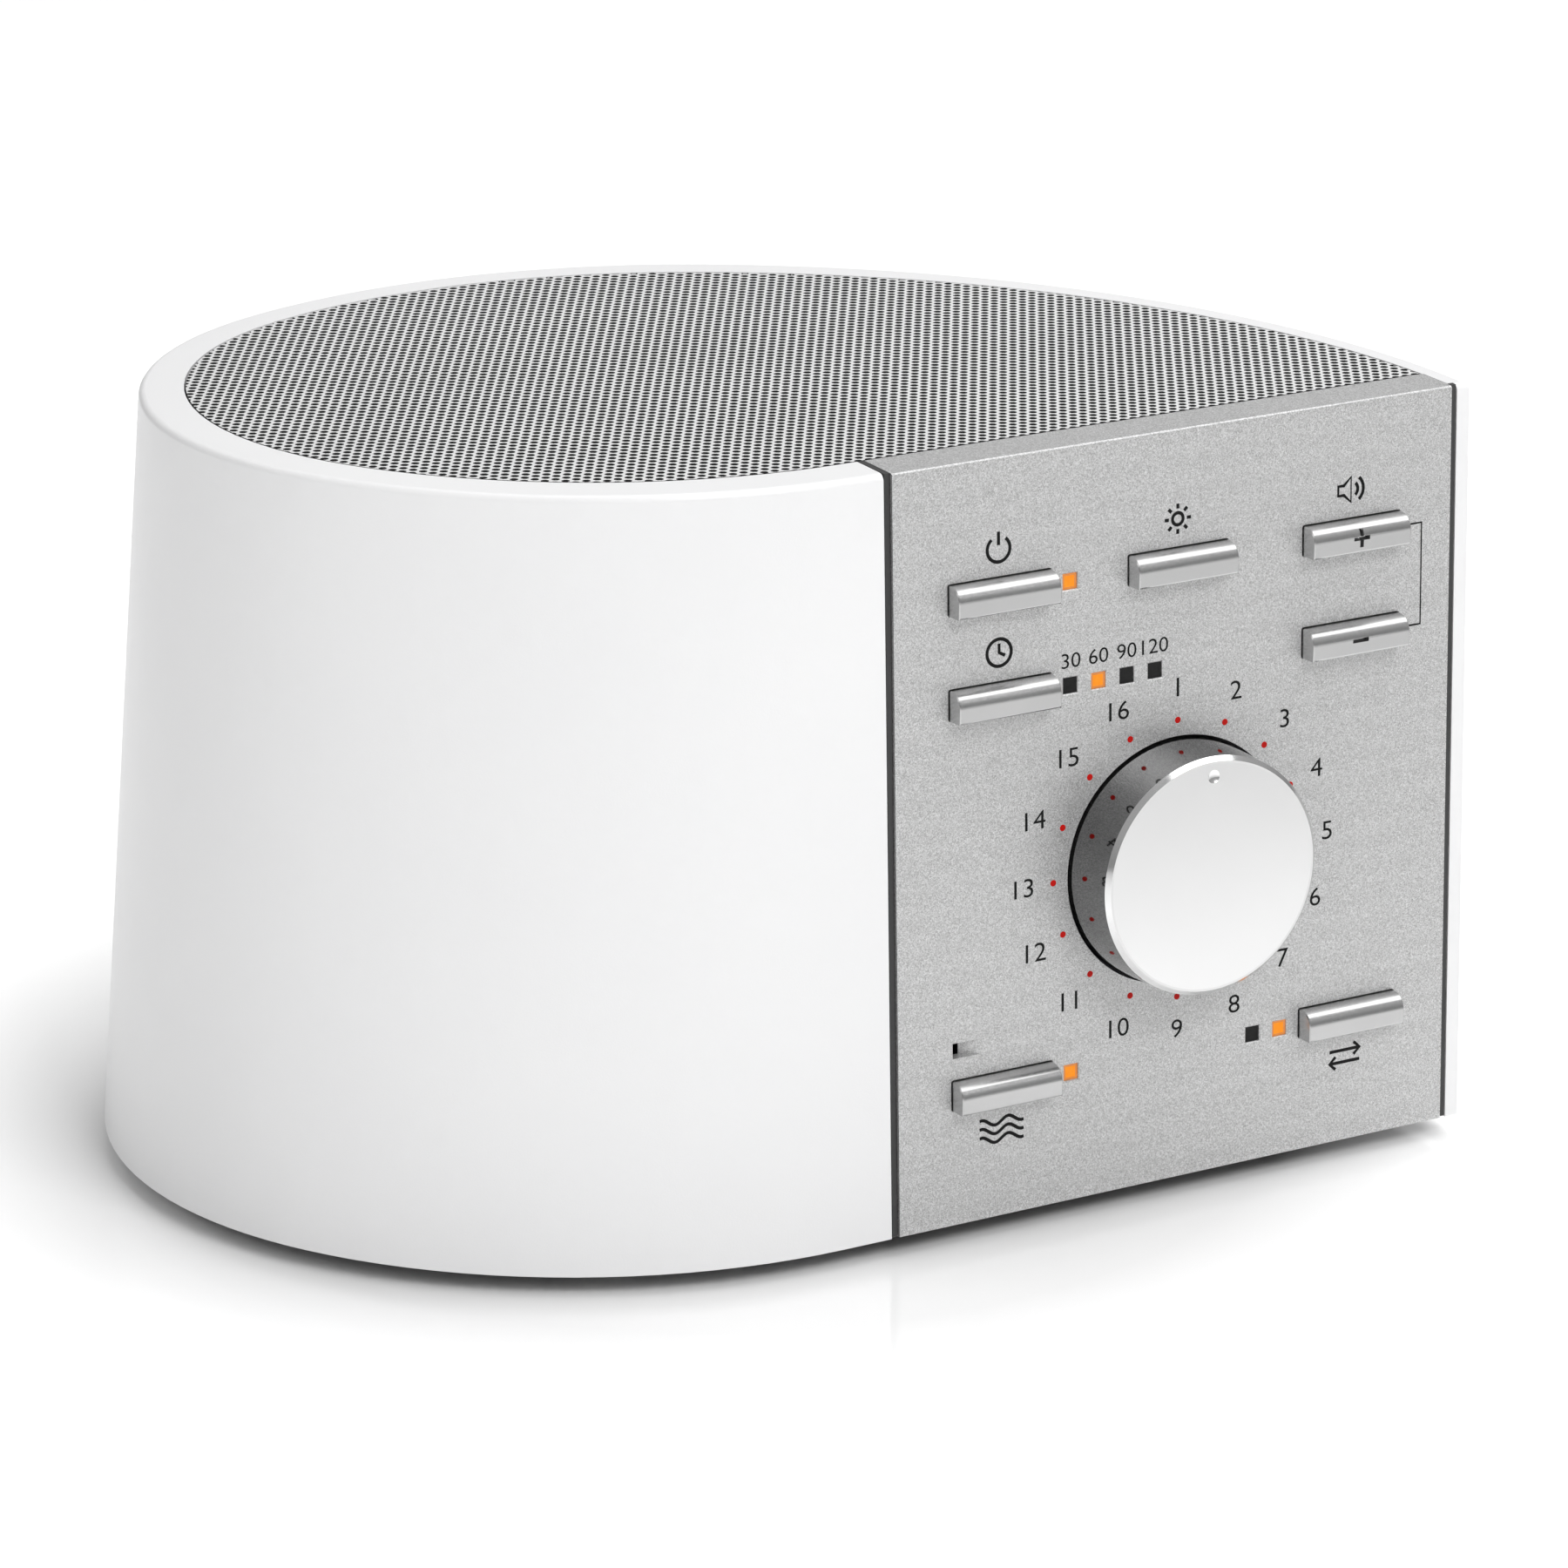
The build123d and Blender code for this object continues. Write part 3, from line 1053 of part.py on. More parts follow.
# ---------------------------------------------------------------- main board
with BuildPart() as main_board:
    with BuildSketch(Plane.XY.offset(MAIN_BOARD_BOTTOM)):
        with Locations((MAIN_BOARD_X, MAIN_BOARD_Y)):
            Rectangle(*MAIN_BOARD)
        with Locations(*POSTS):
            Circle(SCREW_RADIUS + SCREW_GAP, mode=Mode.SUBTRACT)
    extrude(amount=BOARD_THICK)
finish(main_board, "main_board")

with BuildPart() as main_board_screws:
    with BuildSketch(Plane.XY.offset(MAIN_BOARD_TOP)):
        with Locations(*POSTS):
            Circle(SCREW_RADIUS)
    extrude(amount=-BOARD_SCREW_LENGTH + SCREW_GAP)
    with BuildSketch(Plane.XY.offset(MAIN_BOARD_TOP)):
        with Locations(*POSTS):
            Circle(SCREW_HEAD_RADIUS)
    extrude(amount=SCREW_HEAD_THICK)
finish(main_board_screws, "main_board_screws")

with BuildPart() as board_chips:
    with BuildSketch(Plane.XY.offset(MAIN_BOARD_TOP)):
        with Locations(*CHIPS):
            Rectangle(CHIP_SIZE[0], CHIP_SIZE[1])
    extrude(amount=CHIP_SIZE[2])
finish(board_chips, "board_chips")

with BuildPart() as board_capacitors:
    with BuildSketch(Plane.XY.offset(MAIN_BOARD_TOP)):
        with Locations(*CAPACITORS):
            Circle(CAPACITOR_RADIUS)
    extrude(amount=CAPACITOR_HEIGHT)
finish(board_capacitors, "board_capacitors")

RIBBON_Z = BOTTOM_Z + RIBBON_V * cos(radians(PANEL_LEAN))
RIBBON_END_Y = MAIN_BOARD_Y - MAIN_BOARD[1] / 2 + RIBBON_LANDING
SOCKET_FACE_Y = leaning_y(RIBBON_Z, BOARD_BACK + SOCKET_HEIGHT)
with BuildPart() as board_sockets:
    with BuildSketch(panel_plane(BOARD_BACK)):
        with Locations((RIBBON_X - DIAL_X, RIBBON_V)):
            Rectangle(*RIBBON_SOCKET)
    extrude(amount=-SOCKET_HEIGHT)
    with BuildSketch(Plane.XY.offset(MAIN_BOARD_TOP)):
        with Locations((RIBBON_X, RIBBON_END_Y)):
            Rectangle(*RIBBON_SOCKET)
        with Locations((SPEAKER_X, LEAD_SOCKET_Y)):
            Rectangle(*LEAD_SOCKET)
    extrude(amount=SOCKET_HEIGHT)
finish(board_sockets, "board_sockets")

SOCKET_TOP = MAIN_BOARD_TOP + SOCKET_HEIGHT
with BuildPart() as panel_ribbon_cable:
    with BuildSketch(Plane.YZ.offset(RIBBON_X)):
        with BuildLine():
            FilletPolyline(
                (SOCKET_FACE_Y + FIT_GAP, RIBBON_Z),
                (RIBBON_END_Y, RIBBON_Z),
                (RIBBON_END_Y, SOCKET_TOP),
                radius=RIBBON_BEND,
            )
        trace(line_width=RIBBON_THICK)
    extrude(amount=RIBBON_WIDTH / 2, both=True)
finish(panel_ribbon_cable, "panel_ribbon_cable")

with BuildPart() as speaker_leads:
    for side in (-1, 1):
        lead_x = SPEAKER_X + side * LEAD_PITCH / 2
        with BuildLine(Plane.YZ.offset(lead_x)) as lead_path:
            Polyline(
                (LEAD_Y, TERMINAL_BOTTOM),
                (LEAD_Y, TERMINAL_BOTTOM - LEAD_STRAIGHT),
                (LEAD_Y + LEAD_BOW, (TERMINAL_BOTTOM + SOCKET_TOP) / 2),
                (LEAD_SOCKET_Y, SOCKET_TOP + LEAD_STRAIGHT),
                (LEAD_SOCKET_Y, SOCKET_TOP),
            )
        with BuildSketch(Plane.XY.offset(TERMINAL_BOTTOM)):
            with Locations((lead_x, LEAD_Y)):
                Circle(LEAD_RADIUS)
        sweep(path=lead_path.line, transition=Transition.RIGHT)
finish(speaker_leads, "speaker_leads")
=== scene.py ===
"""Looks of a white noise sound machine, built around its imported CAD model.

Everything is in metres, in the frame of the CAD model: the control panel faces -Y, +Z is up. Only what
lies on the panel is measured in millimetres, to the right and upwards on its face, and MM converts it.
"""

import json
import logging
import math
from collections.abc import Callable, Sequence
from dataclasses import dataclass, field
from enum import Enum

import bpy
import numpy as np
from mathutils import Matrix, Vector

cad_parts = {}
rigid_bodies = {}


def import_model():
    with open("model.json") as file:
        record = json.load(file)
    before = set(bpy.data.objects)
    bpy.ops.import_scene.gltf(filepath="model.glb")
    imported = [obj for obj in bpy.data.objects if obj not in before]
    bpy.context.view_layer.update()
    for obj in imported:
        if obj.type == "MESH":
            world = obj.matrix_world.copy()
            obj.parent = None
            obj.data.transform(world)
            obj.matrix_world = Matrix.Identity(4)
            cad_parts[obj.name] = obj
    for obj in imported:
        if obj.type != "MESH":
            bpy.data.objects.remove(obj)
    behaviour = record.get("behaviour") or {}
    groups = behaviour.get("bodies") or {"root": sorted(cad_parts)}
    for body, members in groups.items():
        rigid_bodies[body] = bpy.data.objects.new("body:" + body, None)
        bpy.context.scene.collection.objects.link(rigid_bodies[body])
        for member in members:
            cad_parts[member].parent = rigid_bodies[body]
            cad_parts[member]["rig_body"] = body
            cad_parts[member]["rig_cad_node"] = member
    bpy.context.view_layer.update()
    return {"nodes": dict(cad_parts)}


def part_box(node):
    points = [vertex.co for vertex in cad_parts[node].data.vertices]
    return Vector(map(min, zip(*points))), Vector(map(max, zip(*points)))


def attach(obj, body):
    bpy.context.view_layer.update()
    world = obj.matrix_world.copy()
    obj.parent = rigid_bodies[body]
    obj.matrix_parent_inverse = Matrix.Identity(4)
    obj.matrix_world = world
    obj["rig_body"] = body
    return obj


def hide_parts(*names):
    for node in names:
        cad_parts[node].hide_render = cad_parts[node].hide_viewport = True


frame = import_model()

MM = 0.001
# Points of a CAD mesh that are nearer than this, in metres, are one.
SAME_POINT = 2e-6
# A face whose normal has this much of an axis faces along it.
ALONG = 0.9
# The weight of a Weighted Normal modifier at which the large faces count fully.
LARGE_FACES_FIRST = 100
# A Mix node's sockets where it mixes colours: the factor and the two colours, and the result.
MIX_INPUTS = (0, 6, 7)
MIX_RESULT = 2
# An arc of a symbol has a point every so many degrees, and at least so many runs.
ARC_STEP = 12.0
ARC_LEAST = 6
LOG = logging.getLogger("sound_machine")
Colour = tuple[float, float, float]
Place = tuple[float, float, float]
Point = tuple[float, float]
Piece = bpy.types.Object
Face = bpy.types.MeshPolygon
Tree = bpy.types.NodeTree
Node = bpy.types.Node
Socket = bpy.types.NodeSocket
Material = bpy.types.Material


# ---------------------------------------------------------------- workbench


def only(piece: Piece) -> Piece:
    """Deselects everything else and makes one piece the active one.

    Args:
        piece: the piece to work on.

    Returns:
        The same piece.
    """
    if bpy.context.mode != "OBJECT":
        done()
    bpy.ops.object.select_all(action="DESELECT")
    piece.select_set(True)
    bpy.context.view_layer.objects.active = piece
    return piece


def added(name: str) -> Piece:
    """Names the piece that an operator has just made.

    Args:
        name: the name, for its mesh too.

    Returns:
        The piece.
    """
    piece = bpy.context.active_object
    piece.name = name
    piece.data.name = name
    return piece


def edit(piece: Piece, kind: str = "FACE") -> None:
    """Opens a piece in edit mode with nothing selected.

    Args:
        piece: the piece to edit.
        kind: what is picked, VERT, EDGE or FACE.
    """
    only(piece)
    bpy.ops.object.mode_set(mode="EDIT")
    bpy.ops.mesh.select_mode(type=kind)
    bpy.ops.mesh.select_all(action="DESELECT")


def done() -> None:
    """Goes back to object mode."""
    bpy.ops.object.mode_set(mode="OBJECT")


def pick_faces(piece: Piece, wanted: Callable[[Face], bool]) -> None:
    """Selects the faces that pass a test, and opens the piece in edit mode.

    Args:
        piece: the piece to pick on.
        wanted: the test, by a face's place or normal.
    """
    edit(piece)
    done()
    for face in piece.data.polygons:
        face.select = wanted(face)
    bpy.ops.object.mode_set(mode="EDIT")


def face_outwards() -> None:
    """Turns every face of the piece in edit mode outwards."""
    bpy.ops.mesh.select_all(action="SELECT")
    bpy.ops.mesh.normals_make_consistent(inside=False)


def weld(piece: Piece, distance: float) -> None:
    """Merges the points of a piece that lie together.

    Args:
        piece: the piece.
        distance: how near such points are.
    """
    edit(piece, "VERT")
    bpy.ops.mesh.select_all(action="SELECT")
    bpy.ops.mesh.remove_doubles(threshold=distance)
    done()


def apply(piece: Piece, kind: str, **settings: object) -> None:
    """Adds a modifier, sets it and applies it.

    Args:
        piece: the piece to change.
        kind: the modifier's type.
        settings: its values by name.
    """
    only(piece)
    modifier = piece.modifiers.new(kind.lower(), kind)
    for key, value in settings.items():
        setattr(modifier, key, value)
    bpy.ops.object.modifier_apply(modifier=modifier.name)


def carve(piece: Piece, tool: Piece) -> None:
    """Cuts the shape of a tool out of a piece, and removes the tool."""
    apply(piece, "BOOLEAN", operation="DIFFERENCE", object=tool, solver="EXACT")
    bpy.data.objects.remove(tool)


def joined(pieces: Sequence[Piece], name: str) -> Piece:
    """Joins pieces into the first of them.

    Args:
        pieces: the pieces.
        name: the name of the result.

    Returns:
        The one piece that is left.
    """
    only(pieces[0])
    for piece in pieces:
        piece.select_set(True)
    if len(pieces) > 1:
        bpy.ops.object.join()
    return added(name)


def copied(piece: Piece, matrix: Matrix) -> Piece:
    """Copies a piece with its own mesh, and moves the copy's mesh.

    Args:
        piece: the piece to copy.
        matrix: where the copy goes.

    Returns:
        The copy.
    """
    copy = piece.copy()
    copy.data = piece.data.copy()
    bpy.context.scene.collection.objects.link(copy)
    copy.data.transform(matrix)
    return copy


def smooth(piece: Piece, angle: float) -> None:
    """Shades a piece smooth where its faces meet at less than an angle in degrees."""
    only(piece)
    bpy.ops.object.shade_smooth_by_angle(angle=math.radians(angle))


def shaded(piece: Piece, angle: float) -> None:
    """Shades a piece smooth as above, and lets large faces set the shading of the fillets beside them."""
    smooth(piece, angle)
    apply(piece, "WEIGHTED_NORMAL", keep_sharp=True, weight=LARGE_FACES_FIRST)


def twin(node: str, name: str) -> Piece:
    """Copies a CAD node as a piece that rides on nothing yet, and merges its points.

    Args:
        node: the CAD node.
        name: the name of the copy.

    Returns:
        The copy.
    """
    source = frame["nodes"][node]
    piece = source.copy()
    piece.data = source.data.copy()
    piece.parent = None
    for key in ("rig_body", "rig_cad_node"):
        del piece[key]
    bpy.context.scene.collection.objects.link(piece)
    piece.name = name
    weld(piece, SAME_POINT)
    return piece


def skin(node: str, angle: float, shade: Callable[[Piece, float], None] = shaded) -> Piece:
    """Copies a CAD node, shades it smooth, and lets it stand for the node.

    Args:
        node: the CAD node.
        angle: the sharpest angle in degrees that is still shaded smooth.
        shade: how it is shaded.

    Returns:
        The copy.
    """
    piece = twin(node, f"{node}_skin")
    bpy.ops.mesh.customdata_custom_splitnormals_clear()
    shade(piece, angle)
    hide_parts(node)
    return piece


def fitted(piece: Piece, body: str, slot: "Slot", finishes: "Finishes") -> Piece:
    """Puts a finish on a piece, lets it ride on a body and reports it.

    Args:
        piece: the piece.
        body: the body that carries it.
        slot: its material slot.
        finishes: all the finishes.

    Returns:
        The same piece.
    """
    piece.data.materials.clear()
    piece.data.materials.append(finishes.material(slot))
    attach(piece, body)
    LOG.info("%s: %d faces on %s", piece.name, len(piece.data.polygons), body)
    return piece


def refinish(piece: Piece, material: Material, wanted: Callable[[Face], bool]) -> None:
    """Gives some faces of a piece a second material.

    Args:
        piece: the piece, which has one material.
        material: the second material.
        wanted: the test that those faces pass.
    """
    piece.data.materials.append(material)
    for face in piece.data.polygons:
        face.material_index = int(wanted(face))


# ------------------------------------------------------------------ shading


def put(tree: Tree, socket: Socket, value: object) -> None:
    """Sets an input of a shader node.

    Args:
        tree: the tree that holds the node.
        socket: the input.
        value: another node's output to link to it, or its plain value.
    """
    if isinstance(value, Socket):
        tree.links.new(value, socket)
    else:
        socket.default_value = value


def fill(tree: Tree, node: Node, **inputs: object) -> Node:
    """Sets several inputs of a shader node.

    Args:
        tree: the tree that holds the node.
        node: the node.
        inputs: what put takes for each input, with _ for a space.

    Returns:
        The same node.
    """
    for key, value in inputs.items():
        put(tree, node.inputs[key.replace("_", " ")], value)
    return node


def add(tree: Tree, kind: str, **inputs: object) -> Node:
    """Adds a shader node of a kind, without its ShaderNode prefix, and fills it."""
    return fill(tree, tree.nodes.new("ShaderNode" + kind), **inputs)


def reckon(tree: Tree, operation: str, *values: object) -> Socket:
    """Adds a Math node.

    Args:
        tree: the tree that holds it.
        operation: what it does.
        values: what put takes for each of its inputs.

    Returns:
        Its result.
    """
    node = add(tree, "Math")
    node.operation = operation
    for socket, value in zip(node.inputs, values):
        put(tree, socket, value)
    return node.outputs[0]


class Shader:
    """A material with its Principled shader, and short ways to wire more nodes to it."""

    def __init__(self, name: str) -> None:
        """Makes the material.

        Args:
            name: its name.
        """
        self.material = bpy.data.materials.new(name)
        self.material.use_nodes = True
        self.tree = self.material.node_tree
        self.main = self.tree.nodes["Principled BSDF"]
        self.place = add(self.tree, "TexCoord").outputs["Object"]

    def group(self, group: Tree, scale: float) -> Socket:
        """Places one of the shared effects.

        Args:
            group: its node group.
            scale: how many of its marks go into a metre.

        Returns:
            Its mask.
        """
        node = add(self.tree, "Group")
        node.node_tree = group
        return fill(self.tree, node, Place=self.place, Scale=scale).outputs["Mask"]

    def mix(self, mask: Socket, first: Colour, second: Colour) -> Socket:
        """Mixes two colours.

        Args:
            mask: where it is 0 the first colour shows, and where it is 1 the second.
            first: the first colour.
            second: the second colour.

        Returns:
            The mixed colour.
        """
        node = add(self.tree, "Mix")
        node.data_type = "RGBA"
        for index, value in zip(MIX_INPUTS, (mask, (*first, 1.0), (*second, 1.0))):
            put(self.tree, node.inputs[index], value)
        return node.outputs[MIX_RESULT]

    def span(self, mask: Socket, low: float, high: float) -> Socket:
        """Maps a mask from 0 to 1 onto a range."""
        return add(self.tree, "MapRange", Value=mask, To_Min=low, To_Max=high).outputs[0]

    def relief(self, height: Socket, depth: float) -> None:
        """Feeds a height to the shader's normal as a bump of a depth in metres."""
        bump = add(self.tree, "Bump", Strength=1.0, Distance=depth, Height=height)
        put(self.tree, self.main.inputs["Normal"], bump.outputs["Normal"])


class Effects:
    """Shader node groups that more than one finish uses, each built once."""

    def __init__(self) -> None:
        """Builds the groups."""
        self.grain = self._noise("grain", detail=2.0, low=0.35, high=0.65)
        self.patches = self._noise("patches", detail=3.0, low=0.3, high=0.7)
        self.flakes = self._flakes()
        self.weave = self._weave()

    @staticmethod
    def _group(name: str) -> tuple[Tree, dict[str, Socket], Node]:
        """Starts a group that takes a place and a scale, and puts out a mask.

        Args:
            name: its name.

        Returns:
            The group, what its pattern node takes by name, and its output node.
        """
        tree = bpy.data.node_groups.new(name, "ShaderNodeTree")
        tree.interface.new_socket(name="Place", in_out="INPUT", socket_type="NodeSocketVector")
        tree.interface.new_socket(name="Scale", in_out="INPUT", socket_type="NodeSocketFloat")
        tree.interface.new_socket(name="Mask", in_out="OUTPUT", socket_type="NodeSocketFloat")
        start = tree.nodes.new("NodeGroupInput").outputs
        return tree, {"Vector": start["Place"], "Scale": start["Scale"]}, tree.nodes.new("NodeGroupOutput")

    def _noise(self, name: str, detail: float, low: float, high: float) -> Tree:
        """Builds soft noise stretched to the full range.

        Args:
            name: the group's name.
            detail: how fine its smallest part is.
            low: the noise value that gives 0.
            high: the noise value that gives 1.

        Returns:
            The group.
        """
        tree, start, end = self._group(name)
        noise = add(tree, "TexNoise", Detail=detail, **start)
        reach = add(tree, "MapRange", Value=noise.outputs[0], From_Min=low, From_Max=high)
        fill(tree, end, Mask=reach.outputs[0])
        return tree

    def _flakes(self) -> Tree:
        """Builds cells that each have their own value, as metal flakes in paint have.

        Returns:
            The group.
        """
        tree, start, end = self._group("flakes")
        cells = add(tree, "TexVoronoi", **start)
        fill(tree, end, Mask=cells.outputs["Color"])
        return tree

    def _weave(self) -> Tree:
        """Builds crossed threads, as acoustic cloth has.

        Returns:
            The group.
        """
        tree, start, end = self._group("weave")
        threads = []
        for direction in ("X", "Y"):
            wave = add(tree, "TexWave", **start)
            wave.bands_direction = direction
            threads.append(wave.outputs["Fac"])
        fill(tree, end, Mask=reckon(tree, "MAXIMUM", *threads))
        return tree


# ----------------------------------------------------------------- finishes


class Slot(Enum):
    """The material slots of the record."""

    BODY = "body_white"
    CARRIER = "carrier_grey"
    PANEL = "panel_silver"
    GRILLE = "grille_silver"
    BUTTON = "button_chrome"
    DIAL = "dial_chrome"
    DISC = "dial_satin"
    LIT = "lens_lit"
    UNLIT = "lens_dark"
    CLOTH = "cloth_black"
    BLACK = "plastic_black"
    WHITE = "plastic_white"
    RUBBER = "rubber_black"
    STEEL = "steel_plated"
    FERRITE = "ferrite_dark"
    COPPER = "copper_coil"
    CONE = "cone_grey"
    BOARD = "board_green"
    RIBBON = "ribbon_grey"


@dataclass(frozen=True)
class Finish:
    """A surface with soft patches of two near shades, and a fine grain in its gloss and relief.

    Attributes:
        dark: the darker shade.
        light: the lighter shade.
        rough: the lowest and highest roughness.
        metallic: 0 for plastic, 1 for bare metal.
        patch: patches per metre.
        grain: grains per metre.
        depth: the depth of the grain in metres.
        coat: the weight of a clear coat.
        specular: the specular level of the shader.
    """

    dark: Colour
    light: Colour
    rough: tuple[float, float] = (0.4, 0.5)
    metallic: float = 0.0
    patch: float = 60.0
    grain: float = 3000.0
    depth: float = 0.00001
    coat: float = 0.0
    specular: float = 0.5

    def masks(self, shader: Shader, effects: Effects) -> tuple[Socket, Socket, Socket]:
        """Wires the patterns of the surface.

        Args:
            shader: the material to wire them in.
            effects: the shared node groups.

        Returns:
            The masks of its shade, its gloss and its relief.
        """
        grain = shader.group(effects.grain, self.grain)
        return shader.group(effects.patches, self.patch), grain, grain

    def shine(self, shader: Shader, shade: Socket) -> None:
        """Wires light of the surface's own, which a plain surface has none of."""

    def material(self, name: str, effects: Effects) -> Material:
        """Makes the material.

        Args:
            name: its name.
            effects: the shared node groups.

        Returns:
            The material.
        """
        shader = Shader(name)
        shade, gloss, height = self.masks(shader, effects)
        fill(
            shader.tree,
            shader.main,
            Metallic=self.metallic,
            Coat_Weight=self.coat,
            Specular_IOR_Level=self.specular,
            Base_Color=shader.mix(shade, self.dark, self.light),
            Roughness=shader.span(gloss, *self.rough),
        )
        self.shine(shader, shade)
        if self.depth:
            shader.relief(height, self.depth)
        return shader.material


@dataclass(frozen=True)
class FlakePaint(Finish):
    """Silver paint with fine metal flakes.

    Attributes:
        flake: flakes per metre.
        sparkle: how much of the shade is each flake's own, from 0 to 1.
    """

    flake: float = 5200.0
    sparkle: float = 0.1

    def masks(self, shader: Shader, effects: Effects) -> tuple[Socket, Socket, Socket]:
        """Wires patches with flakes over them.

        Args:
            shader: the material to wire them in.
            effects: the shared node groups.

        Returns:
            The masks of its shade, its gloss and its relief.
        """
        flakes = shader.group(effects.flakes, self.flake)
        patches = shader.group(effects.patches, self.patch)
        own = reckon(shader.tree, "MULTIPLY", flakes, self.sparkle)
        shade = reckon(shader.tree, "MULTIPLY_ADD", patches, 1.0 - self.sparkle, own)
        return shade, flakes, shader.group(effects.grain, self.grain)


@dataclass(frozen=True)
class Glow(Finish):
    """A diffusing window, lit or unlit, with a moulded grain.

    Attributes:
        glow: the strength of its light.
        edge: the colour of its light on the lighter patches.
        core: the colour of its light on the darker patches.
    """

    glow: float = 0.0
    edge: Colour = (1.0, 0.36, 0.05)
    core: Colour = (1.0, 0.26, 0.02)

    def shine(self, shader: Shader, shade: Socket) -> None:
        """Wires the window's light.

        Args:
            shader: the material to wire it in.
            shade: the mask of the surface's shade.
        """
        if self.glow:
            colour = shader.mix(shade, self.core, self.edge)
            fill(shader.tree, shader.main, Emission_Color=colour, Emission_Strength=self.glow)


@dataclass(frozen=True)
class Cloth(Finish):
    """A thin woven cloth.

    Attributes:
        threads: the scale of the weave.
    """

    threads: float = 900.0

    def masks(self, shader: Shader, effects: Effects) -> tuple[Socket, Socket, Socket]:
        """Wires the weave for shade, gloss and relief alike."""
        return (shader.group(effects.weave, self.threads),) * 3


def grey(value: float) -> Colour:
    """Returns a grey of one linear value."""
    return (value, value, value)


class Finishes:
    """All the finishes of the machine: one for each slot, and those of prints, rims and bevels."""

    RECIPES: dict[Slot, Finish] = {
        Slot.BODY: Finish((0.85, 0.85, 0.855), (0.87, 0.87, 0.873), (0.3, 0.36), patch=25, grain=5000,
                          depth=0.000004),
        Slot.CARRIER: Finish(grey(0.03), grey(0.042), (0.45, 0.55), grain=4000),
        Slot.PANEL: FlakePaint(grey(0.28), grey(0.80), (0.34, 0.5), metallic=0.5, patch=2600, grain=3400,
                               depth=0.000012, sparkle=0.85, flake=8000),
        Slot.GRILLE: Finish(grey(0.86), grey(0.92), (0.34, 0.42), metallic=0.35, patch=50, grain=4000,
                            depth=0.000004),
        Slot.BUTTON: Finish(grey(0.51), grey(0.54), (0.23, 0.27), metallic=1.0, patch=90, depth=0.0),
        Slot.DIAL: Finish(grey(0.22), grey(0.25), (0.05, 0.08), metallic=1.0, patch=90, depth=0.0),
        Slot.DISC: Finish(grey(0.80), grey(0.82), (0.2, 0.22), metallic=1.0, grain=5000, depth=0.0),
        Slot.LIT: Glow((0.28, 0.07, 0.004), (0.32, 0.09, 0.006), patch=1500, grain=2500, glow=0.72,
                       specular=0.2, core=(1.0, 0.30, 0.010), edge=(1.0, 0.34, 0.016)),
        Slot.UNLIT: Glow(grey(0.008), grey(0.013), (0.45, 0.55), patch=800, grain=2500, specular=0.2),
        Slot.CLOTH: Cloth(grey(0.006), grey(0.03), (0.7, 0.9), depth=0.0001),
        Slot.BLACK: Finish(grey(0.014), grey(0.022), grain=3500),
        Slot.WHITE: Finish(grey(0.62), grey(0.7), grain=3500),
        Slot.RUBBER: Finish(grey(0.012), grey(0.024), (0.7, 0.85), grain=2500, depth=0.00003),
        Slot.STEEL: Finish(grey(0.5), grey(0.62), (0.22, 0.32), metallic=1.0, patch=300),
        Slot.FERRITE: Finish(grey(0.03), grey(0.05), (0.55, 0.7), patch=400, depth=0.00002),
        Slot.COPPER: Finish((0.6, 0.22, 0.08), (0.75, 0.32, 0.14), (0.25, 0.35), metallic=1.0, patch=700),
        Slot.CONE: Finish(grey(0.035), grey(0.06), (0.75, 0.9), patch=500, grain=1800, depth=0.00006),
        Slot.BOARD: Finish((0.01, 0.09, 0.035), (0.015, 0.13, 0.05), (0.3, 0.4), patch=350, coat=0.4),
        Slot.RIBBON: Finish(grey(0.3), grey(0.38), patch=300),
    }
    INK = Finish(grey(0.006), grey(0.01), (0.6, 0.7), patch=900, grain=5000, depth=0.000002, specular=0.15)
    DOTS = Finish((0.5, 0.006, 0.003), (0.56, 0.01, 0.006), (0.5, 0.6), patch=900, grain=5000,
                  depth=0.000002, specular=0.15)
    RIM = Glow((0.4, 0.14, 0.03), (0.46, 0.17, 0.04), (0.3, 0.4), patch=1500, grain=2500, glow=0.3,
               core=(1.0, 0.3, 0.04), edge=(1.0, 0.34, 0.06))
    BEVEL = Finish(grey(0.72), grey(0.78), (0.12, 0.16), metallic=1.0, patch=90, depth=0.0)

    def __init__(self) -> None:
        """Makes every material."""
        effects = Effects()
        self._made = {slot: self.RECIPES[slot].material(f"{slot.value}_finish", effects) for slot in Slot}
        self.ink = self.INK.material("print_ink_finish", effects)
        self.dots = self.DOTS.material("dot_ink_finish", effects)
        self.bevel = self.BEVEL.material("dial_bevel_finish", effects)
        self.rim = self.RIM.material("lens_rim_finish", effects)

    def material(self, slot: Slot) -> Material:
        """Returns the material of a slot."""
        return self._made[slot]

    def dress_frame(self) -> None:
        """Gives every CAD node the finish of the slot that its own material names."""
        for node in frame["nodes"].values():
            for place in node.material_slots:
                place.material = self.material(Slot(place.material.name))


# -------------------------------------------------------------------- shell


